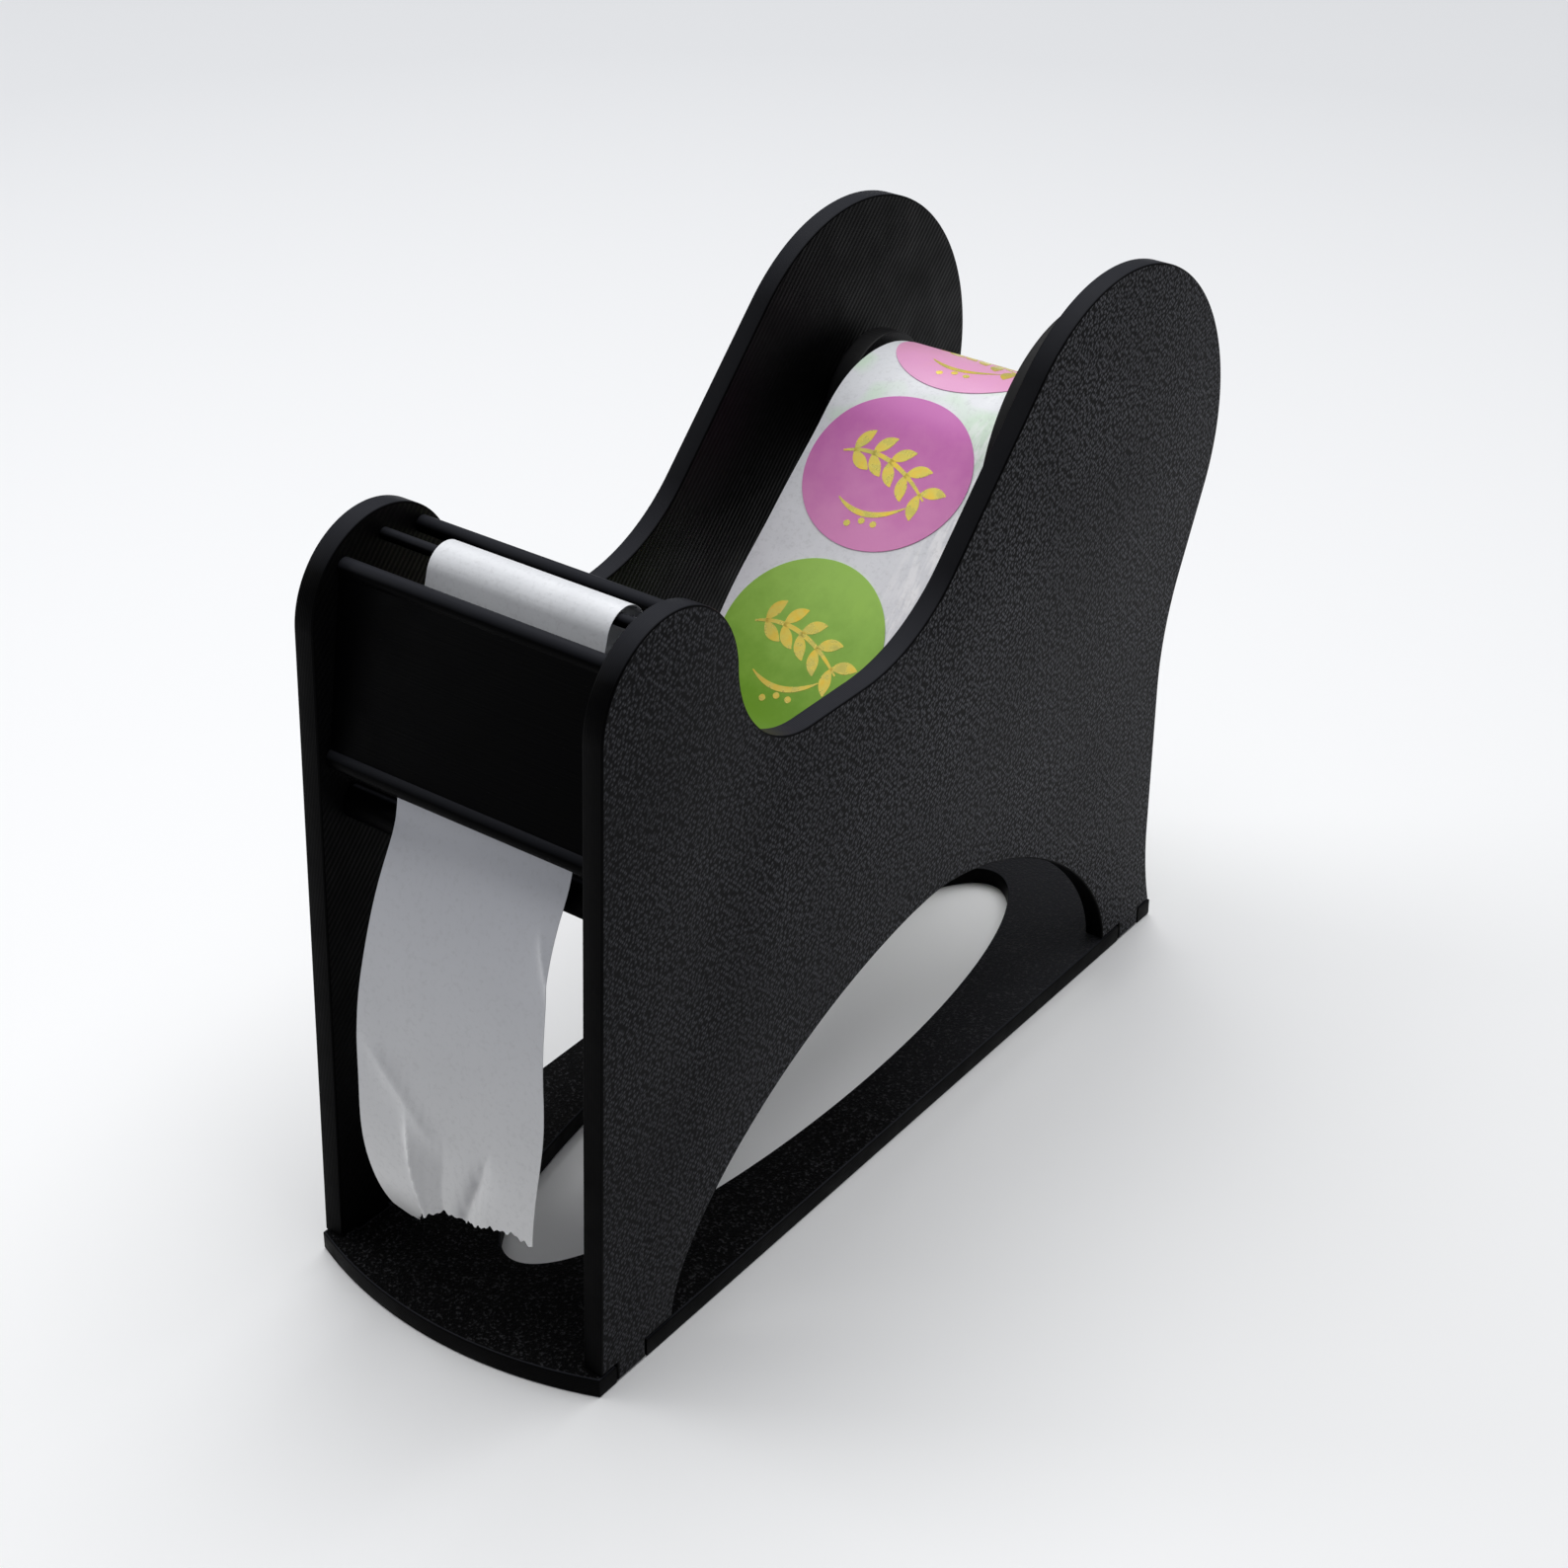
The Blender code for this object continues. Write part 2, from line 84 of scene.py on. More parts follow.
# Stand, as in the part's source
FIT = 0.3
PLATE = HALF_WIDTH - INNER_HALF
SEAT_Z = BASE_THICK + FIT
BASE_HOLE_WIDTH = 31.0
BASE_HOLE_FRONT = 11.5
BASE_HOLE_REAR = 8.5
TAB_WIDTH = 5.8
TAB_INSET = 3.8
FRONT_FOOT_Y = 0.5
FRONT_LOBE = (17.5, 96.3)
FRONT_LOBE_R = 13.3
VALLEY_Z = 81.0
VALLEY_BEND_SHARE = 0.507
LOBE_R = 30.8
RAMP_ANGLE = math.radians(45)
BACK_ANGLE = math.radians(25)
WAIST_INSET = 2.6
WAIST_R = 45.0
FLARE_HEIGHT = 15.0
FOOT_INSET = 0.4
ARCH_FRONT = 15.4
ARCH_PEAK = 78.0
ARCH_REAR = 15.0
ARCH_TOP = 38.6
ARCH_POWER = 1.65

# Cross pieces: the rods as (centre, radius), and the front panel's section
RODS = {"peel_rod": ((18.0, 105.9), 0.85), "hold_down_rod": ((25.0, 104.5), 1.2),
        "tail_guide_rod": ((9.4, 70.5), 2.4)}
PANEL_TOP = np.array([10.6, 104.2])
PANEL_LOW = np.array([6.3, 78.5])
PANEL_THICK = 1.8
PANEL_TOP_BEAD_R = 1.3
PANEL_LOW_BEAD_R = 1.6
TOP_BEAD_END = 2.45
LOW_BEAD_START = 0.6
BEAD_STEPS = 26

# Axle, discs and roll
AXLE_R = 3.0
LEFT_DISC_R = 11.0
RIGHT_DISC_R = 23.6
DISC_BACK_SHARE = 0.75
DISC_RIM = 3.0
DISC_SIDE_GAP = 0.8
LINER_WIDTH = 29.0
ROLL_SIDE_GAP = 1.7
CORE_BORE_R = 12.7
CORE_WALL = 1.5
ROLL_LAPS = 28
ROLL_OUTER_R = 18.75
ROLL_STRIP = 0.11
ROLL_CORE_GAP = 0.12

# Liner and labels
PAPER = 0.09
SHEET_UV = 100.0
WEB_R = 19.25
SAG = (58.7, 74.5)
SAG_R = 18.0
PEEL_BEND = (18.9, 103.75)
PEEL_BEND_R = 3.5
TAIL = (94.3, 33.0)
TAIL_R = 95.0
TAIL_END_Z = 10.0
LAP_START = math.radians(28)
LABEL_R = 12.7
LABEL_PITCH = 28.1
LABEL_PAST_ROLL = 6.5
LABEL_SHIFTS = (0.0, -0.3, -0.05, -0.6, -0.3)
LABEL_PAPER = 0.12
LABEL_GAP = 0.01
LABEL_WIDEN = 1.055
LABEL_LENGTHEN = (0.985, 0.985, 1.06, 0.985, 0.985)
WEB_DRIFT = 2.3
WEB_DRIFT_FROM = 45.0
WEB_DRIFT_BEFORE_PEEL = 6.0
SLOPE_DRIFT = -1.2
SLOPE_DRIFT_AT = 30.0
SLOPE_DRIFT_REACH = 20.0

# Finish of edges and fineness of the surfaces
EDGE_R = 0.28
ROD_EDGE_R = 0.1
AXLE_EDGE_R = 0.3
CORE_EDGE_R = 0.25
EDGE_STEPS = 4
SEAM = 0.03
MITRE_FLOOR = 0.3
ARC_STEP = math.radians(2)
SHARP_TURN = math.radians(50)
ROUND_SIDES = 160
ROD_SIDES = 48
ARCH_STEPS = 44
LINER_ROWS = 400
PEEL_ROWS = 48
LINER_COLUMNS = 97
LAP_STEPS = 84
LABEL_STEPS = 31


def to_frame(points):
    """Millimetres in the stand's axes to metres in the frame."""
    return (points + np.array([0.0, FRONT_Y, 0.0])) * MM


def grid_quads(rows, columns, wrap_rows=False, wrap_columns=False):
    """Corners of the quads of a grid, whose normals are the column direction times the row direction."""
    row, column = np.meshgrid(np.arange(rows - (not wrap_rows)), np.arange(columns - (not wrap_columns)),
                              indexing="ij")
    next_row = (row + 1) % rows
    next_column = (column + 1) % columns
    corners = [row * columns + column, row * columns + next_column,
               next_row * columns + next_column, next_row * columns + column]
    return np.stack(corners, -1).reshape(-1, 4)


def add_piece(name, points, faces, finishes, body, nodes, groups=None, flat=None, uv=None):
    """A mesh piece that rides on a body and stands for CAD nodes.

    faces is a list of index arrays; groups gives the finish of each array and flat those shaded flat.
    """
    mesh = bpy.data.meshes.new(name)
    mesh.from_pydata(to_frame(points).tolist(), [], [face for part in faces for face in part.tolist()])
    sizes = [len(part) for part in faces]
    flat_parts = [False] * len(faces) if flat is None else flat
    mesh.polygons.foreach_set("use_smooth", np.repeat(np.logical_not(flat_parts), sizes))
    if groups is not None:
        mesh.polygons.foreach_set("material_index", np.repeat(groups, sizes).astype(np.int32))
    if uv is not None:
        corner_point = np.empty(len(mesh.loops), np.int32)
        mesh.loops.foreach_get("vertex_index", corner_point)
        mesh.uv_layers.new(name="sheet").data.foreach_set("uv", uv[corner_point].ravel())
    for finish in finishes:
        mesh.materials.append(finish)
    mesh.validate()
    mesh.update()
    mesh.set_sharp_from_angle(angle=SHARP_TURN)
    piece = bpy.data.objects.new(name, mesh)
    bpy.context.collection.objects.link(piece)
    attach(piece, body)
    if nodes:
        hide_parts(*nodes)
    return piece


def arc(centre, radius, start, end):
    """Points on a circle from one angle to another, about ARC_STEP apart."""
    count = max(2, math.ceil(abs(end - start) / ARC_STEP)) + 1
    turn = np.linspace(start, end, count)
    return np.array(centre) + radius * np.column_stack([np.cos(turn), np.sin(turn)])


def circle(centre, radius, sides):
    """A closed anticlockwise ring of points."""
    turn = np.arange(sides) * FULL_TURN / sides
    return np.array(centre) + radius * np.column_stack([np.cos(turn), np.sin(turn)])


def inset(loop, amount):
    """The loop moved to its left: each point goes along the mitre of its two edges."""
    ahead = np.roll(loop, -1, 0) - loop
    ahead /= np.linalg.norm(ahead, axis=1, keepdims=True)
    left = np.column_stack([-ahead[:, 1], ahead[:, 0]])
    before = np.roll(left, 1, 0)
    mitre = (left + before) / np.maximum(1 + np.sum(left * before, 1, keepdims=True), MITRE_FLOOR)
    return loop + amount * mitre


def slab(loops, low, high, edge, axis):
    """A plate with rounded edges, from low to high along an axis.

    Each loop, the outside anticlockwise and holes clockwise, is carried through a section. At turn a
    of the section it is set in by edge (1 - sin a) and lies edge (1 - cos a) inside the nearer face.
    The two faces are the innermost loops, filled. Returns points, and the rim, low and high faces.
    """
    turn = np.linspace(0, QUARTER, EDGE_STEPS + 1)
    insets = edge * (1 - np.sin(turn))
    rise = edge * (1 - np.cos(turn))
    insets = np.concatenate([insets, insets[::-1]])
    levels = np.concatenate([low + rise, (high - rise)[::-1]])
    points, rim, low_ids, high_ids = [], [], [], []
    start = 0
    for loop in loops:
        count = len(loop)
        rings = np.stack([inset(loop, amount) for amount in insets])
        height = np.broadcast_to(levels[:, None, None], (len(levels), count, 1))
        order = [rings, height] if axis == "Z" else [height, rings]
        points.append(np.concatenate(order, -1).reshape(-1, 3))
        rim.append(start + grid_quads(len(levels), count, wrap_columns=True))
        low_ids.append(start + np.arange(count))
        high_ids.append(start + (len(levels) - 1) * count + np.arange(count))
        start += len(levels) * count
    inner = [inset(loop, edge) for loop in loops]
    filled = np.array(tessellate_polygon([[Vector((*spot, 0.0)) for spot in loop] for loop in inner]))
    flat = np.vstack(inner)
    first, second, third = (flat[filled[:, k]] for k in range(3))
    side = np.cross(second - first, third - first)
    filled[side < 0] = filled[side < 0][:, ::-1]
    low_face = np.concatenate(low_ids)[filled][:, ::-1]
    high_face = np.concatenate(high_ids)[filled]
    return np.vstack(points), [np.vstack(rim), low_face, high_face]


def about(centre, x, radius, turn):
    """Points about the X line through centre: at turn a, (x, y + r cos a, z + r sin a)."""
    return np.stack(np.broadcast_arrays(x, centre[0] + radius * np.cos(turn),
                                        centre[1] + radius * np.sin(turn)), -1)


def turned(profile, centre, sides):
    """A closed anticlockwise (x, r) profile turned about the X line through centre."""
    turn = (np.arange(sides) * FULL_TURN / sides)[:, None]
    x, radius = np.asarray(profile, float).T
    grid = about(centre, x, radius, turn)
    return grid.reshape(-1, 3), [grid_quads(sides, len(x), True, True)]


def shell(top, bottom):
    """A thin closed sheet between two grids: both faces, and the wall that joins their borders."""
    rows, columns = top.shape[:2]
    index = np.arange(rows * columns).reshape(rows, columns)
    face = grid_quads(rows, columns)
    border = np.concatenate([index[0, :-1], index[:-1, -1], index[-1, :0:-1], index[:0:-1, 0]])
    after = np.roll(border, -1)
    lower = rows * columns
    wall = np.column_stack([lower + border, lower + after, after, border])
    points = np.concatenate([top.reshape(-1, 3), bottom.reshape(-1, 3)])
    return points, [face, lower + face[:, ::-1], wall]


def join(parts):
    """Several (points, faces) shapes as one."""
    starts = np.cumsum([0] + [len(points) for points, _ in parts[:-1]])
    faces = [start + face for start, (_, part) in zip(starts, parts) for face in part]
    return np.vstack([points for points, _ in parts]), faces


def rounded(corners, radius, steps=5):
    """A closed (x, r) profile with every corner turned into a small arc.

    Each corner is drawn as a quadratic curve between points set back along its two edges.
    """
    corners = np.asarray(corners, float)
    before = np.roll(corners, 1, 0) - corners
    after = np.roll(corners, -1, 0) - corners
    start = corners + before * (radius / np.linalg.norm(before, axis=1, keepdims=True))
    end = corners + after * (radius / np.linalg.norm(after, axis=1, keepdims=True))
    t = np.linspace(0, 1, steps)[None, :, None]
    curve = (1 - t) ** 2 * start[:, None] + 2 * t * (1 - t) * corners[:, None] + t ** 2 * end[:, None]
    return curve.reshape(-1, 2)


# Outlines of the stand


def tab_spans():
    """The (start, end) in Y of the front and rear tabs."""
    rear_start = BASE_DEPTH - TAB_INSET - TAB_WIDTH
    return [(TAB_INSET, TAB_INSET + TAB_WIDTH), (rear_start, rear_start + TAB_WIDTH)]


def arch_curve():
    """The arch: z rises as (1 - u**p)**(1/p), where u runs from 1 at each foot to 0 at the peak."""
    u = np.cos(np.linspace(0, QUARTER, ARCH_STEPS + 1))
    height = SEAT_Z + (ARCH_TOP - SEAT_Z) * np.clip(1 - u ** ARCH_POWER, 0, 1) ** (1 / ARCH_POWER)
    front = np.column_stack([ARCH_PEAK + (ARCH_FRONT - ARCH_PEAK) * u, height])
    rear = np.column_stack([ARCH_PEAK + (BASE_DEPTH - ARCH_REAR - ARCH_PEAK) * u, height])
    return np.vstack([front, rear[-2::-1]])


def foot_curve():
    """The lower edge from front to rear, with its two tabs and the arch between them."""
    front, rear = [[(start, SEAT_Z), (start, FIT), (end, FIT), (end, SEAT_Z)] for start, end in tab_spans()]
    return np.vstack([front, arch_curve(), rear])


def back_curve():
    """The rear edge, upwards: flared foot, straight waist, and the lean into the rear lobe."""
    foot_y = BASE_DEPTH - FOOT_INSET
    waist_y = BASE_DEPTH - WAIST_INSET
    flare = foot_y - waist_y
    flare_r = (FLARE_HEIGHT ** 2 + flare ** 2) / (2 * flare)
    flare_turn = math.asin(FLARE_HEIGHT / flare_r)
    foot = arc((waist_y + flare_r, SEAT_Z + FLARE_HEIGHT), flare_r, math.pi + flare_turn, math.pi)
    touch_y = LOBE[0] + LOBE_R * math.cos(BACK_ANGLE)
    touch_z = LOBE[1] - LOBE_R * math.sin(BACK_ANGLE)
    corner_z = touch_z - (touch_y - waist_y) / math.tan(BACK_ANGLE)
    waist_z = corner_z - WAIST_R * math.tan(BACK_ANGLE / 2)
    waist = arc((waist_y + WAIST_R, waist_z), WAIST_R, math.pi, math.pi - BACK_ANGLE)
    return np.vstack([foot, waist])


def top_curve():
    """The upper edge from the rear lobe, down the ramp and through the valley to the front lobe."""
    lobe = arc(LOBE, LOBE_R, -BACK_ANGLE, QUARTER + RAMP_ANGLE)
    corner_y = lobe[-1, 0] - (lobe[-1, 1] - VALLEY_Z) / math.tan(RAMP_ANGLE)
    front_r = FRONT_LOBE[1] - VALLEY_Z
    front_y = FRONT_LOBE[0] + FRONT_LOBE_R + front_r
    bend = VALLEY_BEND_SHARE * (corner_y - front_y)
    bend_r = bend / math.tan(RAMP_ANGLE / 2)
    valley = arc((corner_y - bend, VALLEY_Z + bend_r), bend_r, RAMP_ANGLE - QUARTER, -QUARTER)
    rise = arc((front_y, FRONT_LOBE[1]), front_r, -QUARTER, -math.pi)
    reach = np.array(FRONT_LOBE) - (FRONT_FOOT_Y, SEAT_Z)
    lean = math.atan2(reach[0], reach[1])
    front_turn = math.pi - lean + math.asin(FRONT_LOBE_R / np.hypot(*reach))
    front_lobe = arc(FRONT_LOBE, FRONT_LOBE_R, 0.0, front_turn)[1:]
    return np.vstack([lobe, valley, rise, front_lobe, [(FRONT_FOOT_Y, SEAT_Z)]])


def base_loops():
    """The base's outside, with a shallow arc in front and a notch for each tab, and its oval window."""
    depth = PLATE + FIT
    right = []
    for start, end in tab_spans():
        right += [(HALF_WIDTH, start - FIT), (HALF_WIDTH - depth, start - FIT),
                  (HALF_WIDTH - depth, end + FIT), (HALF_WIDTH, end + FIT)]
    right = np.array(right)
    left = right[::-1] * (-1, 1)
    radius = (HALF_WIDTH ** 2 + FRONT_BULGE ** 2) / (2 * FRONT_BULGE)
    spread = math.asin(HALF_WIDTH / radius)
    front = arc((0.0, radius - FRONT_BULGE), radius, -QUARTER - spread, spread - QUARTER)
    back = [(HALF_WIDTH, BASE_DEPTH), (-HALF_WIDTH, BASE_DEPTH)]
    half_length = (BASE_DEPTH - BASE_HOLE_FRONT - BASE_HOLE_REAR) / 2
    window = circle((0.0, 0.0), 1.0, ROUND_SIDES)[::-1] * (BASE_HOLE_WIDTH / 2, half_length)
    return [np.vstack([front, right, back, left]), window + (0.0, BASE_HOLE_FRONT + half_length)]


def panel_loop():
    """The front panel's section: a thin wall that ends in a round bead above and below.

    Along the middle line the half thickness is the larger of the wall and each bead's circle.
    """
    length = np.hypot(*(PANEL_LOW - PANEL_TOP))
    along = (PANEL_LOW - PANEL_TOP) / length
    side = np.array([-along[1], along[0]])
    top_turn = np.linspace(0, TOP_BEAD_END, BEAD_STEPS)
    low_turn = np.linspace(LOW_BEAD_START, math.pi, BEAD_STEPS)
    top = PANEL_TOP_BEAD_R * np.column_stack([-np.cos(top_turn), np.sin(top_turn)])
    low = PANEL_LOW_BEAD_R * np.column_stack([-np.cos(low_turn), np.sin(low_turn)])
    stations = np.vstack([top, low + (length, 0.0)])
    reach, half = stations[:, :1], np.maximum(stations[:, 1:], 0.0)
    wall = (reach > 0) & (reach < length)
    half = np.where(wall, np.maximum(half, PANEL_THICK / 2), half)
    near = PANEL_TOP + reach * along + half * side
    far = PANEL_TOP + reach * along - half * side
    return np.vstack([near, far[-2:0:-1]])


def anticlockwise(loop):
    """The loop, turned round if its signed area is negative."""
    after = np.roll(loop, -1, 0)
    area = np.sum(loop[:, 0] * after[:, 1] - after[:, 0] * loop[:, 1])
    return loop if area > 0 else loop[::-1]


# The liner's line


class FeedLine:
    """A line of arcs joined by straight tangents, like a belt over pulleys, measured by its length.

    Each pulley is (centre, radius, turn), with turn +1 for a left-hand bend and -1 for a right-hand one.
    """

    def __init__(self, pulleys, start, end):
        self.stretches = []
        self.length = 0.0
        enter = start
        for first, second in zip(pulleys, pulleys[1:]):
            gap = np.subtract(second[0], first[0])
            offset = second[2] * second[1] - first[2] * first[1]
            heading = math.atan2(gap[1], gap[0]) - math.asin(offset / np.hypot(*gap))
            leave = heading - first[2] * QUARTER
            arrive = heading - second[2] * QUARTER
            self.bend(first, enter, leave)
            begin = np.add(first[0], first[1] * np.array([math.cos(leave), math.sin(leave)]))
            reach = np.add(second[0], second[1] * np.array([math.cos(arrive), math.sin(arrive)])) - begin
            self.add(np.hypot(*reach), begin, heading, 0.0)
            enter = arrive
        self.bend(pulleys[-1], enter, end)

    def bend(self, pulley, enter, leave):
        """Adds the arc round a pulley from the angle where the line meets it to the one where it parts."""
        centre, radius, turn = pulley
        sweep = ((leave - enter) * turn) % FULL_TURN
        begin = np.add(centre, radius * np.array([math.cos(enter), math.sin(enter)]))
        self.add(sweep * radius, begin, enter + turn * QUARTER, turn / radius)

    def add(self, size, begin, heading, curl):
        """Adds a stretch of a length, from a point along a heading."""
        self.stretches.append((self.length, size, begin, heading, curl))
        self.length += size

    def at(self, s):
        """(y, z) and the label side's normal at lengths s: a stretch with curl k turns by k per length."""
        spot = np.zeros(np.shape(s) + (2,))
        normal = np.zeros(np.shape(s) + (2,))
        for number, (start, _, begin, heading, curl) in enumerate(self.stretches):
            here = s >= start if number else np.full(np.shape(s), True)
            run = s - start
            turn = heading + curl * run
            if curl:
                step = np.stack([np.sin(turn) - math.sin(heading),
                                 math.cos(heading) - np.cos(turn)], -1) / curl
            else:
                step = run[..., None] * np.array([math.cos(heading), math.sin(heading)])
            spot = np.where(here[..., None], begin + step, spot)
            normal = np.where(here[..., None], np.stack([np.sin(turn), -np.cos(turn)], -1), normal)
        return spot, normal


def liner_line():
    """The liner: over the roll, round its slack, over the peel rod and down the hanging tail."""
    pulleys = [(ROLL, WEB_R, 1), (SAG, SAG_R, -1), (PEEL_BEND, PEEL_BEND_R, 1), (TAIL, TAIL_R, 1)]
    return FeedLine(pulleys, LAP_START, math.pi + math.asin((TAIL[1] - TAIL_END_Z) / TAIL_R))


def smooth_step(low, high, value):
    """0 below low, 1 above high, and 3t^2 - 2t^3 between."""
    t = np.clip((value - low) / (high - low), 0, 1)
    return t * t * (3 - 2 * t)


LINE = liner_line()
LEAVES_ROLL = LINE.stretches[1][0]
PEEL_START = LINE.stretches[4][0]
PEEL_END = LINE.stretches[5][0]

# The hanging tail: (z, y) along its left and right edges
TAIL_TOP_Z = 76.0
TAIL_BLEND_ABOVE = 2.0
TAIL_BLEND = 9.0
TAIL_LEFT = [(74.2, 7.8), (67.4, 4.5), (61.1, 1.8), (54.7, -1.0), (48.5, -2.4), (42.6, -2.8), (35.7, -3.2),
             (26.2, -3.1), (20.3, -1.5), (14.3, 1.1), (11.7, 2.7)]
TAIL_RIGHT = [(75.4, 7.8), (71.4, 6.1), (66.3, 3.4), (60.5, 1.9), (53.3, 1.0), (46.6, 0.6), (39.0, -0.1),
              (32.6, -1.1), (26.2, -2.4), (23.9, -2.9)]
# Heights of the torn end, evenly spaced from the left edge to the right
TEAR_Z = [13.2, 11.4, 11.6, 14.2, 16.6, 18.5, 19.9, 20.8, 21.2, 20.5, 21.3, 22.1, 22.8, 23.5, 23.8,
          23.8, 23.6]
# Folds: start and end as (from left edge, z), height, and reach to the left and to the right
TAIL_FOLDS = [((7.5, 37.0), (10.0, 18.0), 1.4, 0.6, 3.0), ((21.3, 34.5), (15.6, 19.5), -1.2, 0.8, 1.6),
              ((-0.5, 46.5), (9.6, 35.0), 0.6, 2.0, 1.6), ((26.0, 69.0), (29.5, 60.0), 0.35, 0.5, 1.0),
              ((13.6, 34.0), (13.0, 22.0), -0.7, 2.6, 3.2)]


def tear_height(share):
    """Height of the torn end across the tail: a slant, with ragged bites from a few sine waves."""
    slant = np.interp(share, np.linspace(0, 1, len(TEAR_Z)), TEAR_Z)
    return (slant + 0.16 * np.sin(43.0 * share + 1.1) + 0.18 * np.sin(87.0 * share)
            + 0.20 * np.sin(151.0 * share + 2.0))


def fold_height(from_left, z, fold):
    """A crease: its height grows along its line and falls as exp(-d/reach) to each side of it."""
    start, end, height, left_reach, right_reach = fold
    line = np.subtract(end, start)
    gap_x, gap_z = from_left - start[0], z - start[1]
    share = (gap_x * line[0] + gap_z * line[1]) / np.dot(line, line)
    away = (gap_z * line[0] - gap_x * line[1]) / np.hypot(*line)
    grown = smooth_step(0.0, 0.5, share) * (1 - smooth_step(1.0, 1.4, share))
    reach = np.where(away < 0, left_reach, right_reach)
    return height * grown * np.exp(-np.sqrt(away ** 2 + 0.02) / reach)


def drift(s):
    """How far the liner has wandered: to the left on its slope, as exp(-d^2), and right at the peel rod."""
    slope = SLOPE_DRIFT * np.exp(-((s - LEAVES_ROLL - SLOPE_DRIFT_AT) / SLOPE_DRIFT_REACH) ** 2)
    turned_right = smooth_step(LEAVES_ROLL + WEB_DRIFT_FROM, PEEL_START - WEB_DRIFT_BEFORE_PEEL, s)
    return slope + WEB_DRIFT * turned_right


def liner_grid():
    """The liner's middle surface as (length, width) rows: the feed line, with the tail's twist and folds.

    The second array is its flat place (share of the width, length / SHEET_UV), the third how far its
    folds lean.
    """
    stations = np.unique(np.concatenate([np.linspace(0, LINE.length, LINER_ROWS),
                                         np.linspace(PEEL_START - 2, PEEL_END + 2, PEEL_ROWS)]))
    across = np.linspace(1, -1, LINER_COLUMNS)
    share = (across + 1) / 2
    tail_start = LINE.length - (TAIL_TOP_Z - TAIL_END_Z)
    cut_back = tear_height(share) - TAIL_END_Z
    run = np.clip((stations - tail_start) / (LINE.length - tail_start), 0, 1)
    s = stations[:, None] - run[:, None] * cut_back
    spot, _ = LINE.at(s)
    y, z = spot[..., 0], spot[..., 1]
    in_tail = smooth_step(0.0, 1.0, (TAIL_TOP_Z + TAIL_BLEND_ABOVE - z) / TAIL_BLEND) * (s > PEEL_END)
    left = np.polyval(np.polyfit(*np.transpose(TAIL_LEFT), 6), z)
    right = np.polyval(np.polyfit(*np.transpose(TAIL_RIGHT), 5), z)
    twisted = left + (right - left) * share
    y = y + in_tail * (twisted - y)
    from_left = share * LINER_WIDTH
    lift = sum(fold_height(from_left, z, fold) for fold in TAIL_FOLDS) * in_tail
    lift = lift + 0.10 * in_tail * np.sin(0.21 * z + 2.4 * share) * np.sin(3.0 * share + 0.13 * z)
    lean = np.clip(np.gradient(lift, from_left, axis=1), -1, 1)
    y = y - lift
    x = across * LINER_WIDTH / 2 + drift(s)
    x = x + 0.06 * np.sin(0.35 * s + 1.0) * across ** 2
    return np.stack([x, y, z], -1), np.stack(np.broadcast_arrays(share, s / SHEET_UV), -1), lean


def thicken(middle, thickness):
    """The two faces of a sheet, half the thickness to each side of its middle grid."""
    across = np.gradient(middle, axis=1)
    along = np.gradient(middle, axis=0)
    normal = np.cross(across, along)
    normal /= np.linalg.norm(normal, axis=-1, keepdims=True)
    return middle + normal * thickness / 2, middle - normal * thickness / 2


def disc_grid(count):
    """A square grid pressed into a unit disc: (a sqrt(1 - b^2/2), b sqrt(1 - a^2/2))."""
    a, b = np.meshgrid(np.linspace(1, -1, count), np.linspace(-1, 1, count))
    return np.stack([a * np.sqrt(1 - b * b / 2), b * np.sqrt(1 - a * a / 2)], -1)


def on_web(middle):
    """Places (across, along, lift) of a label on the liner, about its middle at that length."""
    def place(across, along, lift):
        s = middle + along
        spot, normal = LINE.at(s)
        bent = spot + normal * lift
        return np.stack(np.broadcast_arrays(across + drift(s), bent[..., 0], bent[..., 1]), -1)
    return place


def on_roll(middle):
    """Places (across, along, lift) of a label on the outside of the roll, about a turn angle."""
    def place(across, along, lift):
        turn = middle + along / ROLL_OUTER_R
        return about(ROLL, across, ROLL_OUTER_R + lift, turn)
    return place


# Gold foil sprig on each label, in label radii: x across the liner, u along it
STEM = np.array([(-0.66, -0.10), (-0.10, -0.34), (0.60, 0.20)])
STEM_WIDTH = 0.028
LEAF_PAIRS = 5
LEAF_LENGTH = 0.33
LEAF_WIDTH = 0.074
LEAF_LEAN = math.radians(48)
LEAF_BOW = 0.045
SCROLL = np.array([(-0.42, 0.44), (0.02, 0.70), (0.44, 0.34)])
SCROLL_WIDTH = 0.036
DOT_REACH = np.array([0.042, 0.0])
DOT_WIDTH = 0.040
FOIL_LIFT = 0.012
FOIL = 0.02


def bezier(points, t):
    """A quadratic curve through three control points, and its unit direction."""
    t = t[:, None]
    spot = (1 - t) ** 2 * points[0] + 2 * t * (1 - t) * points[1] + t ** 2 * points[2]
    way = 2 * (1 - t) * (points[1] - points[0]) + 2 * t * (points[2] - points[1])
    return spot, way / np.linalg.norm(way, axis=1, keepdims=True)


def stroke(points, half_width, swell):
    """A foil stroke: a curve whose half width is half_width sin(pi t)**swell to each side."""
    t = np.linspace(0.0, 1.0, 19)
    spot, way = bezier(np.asarray(points), t)
    left = np.column_stack([-way[:, 1], way[:, 0]])
    width = half_width * np.clip(np.sin(math.pi * np.clip(t, 0.02, 0.98)), 0, 1) ** swell
    across = np.linspace(-1, 1, 5)[None, :, None]
    return spot[:, None] + across * (width[:, None] * left)[:, None]


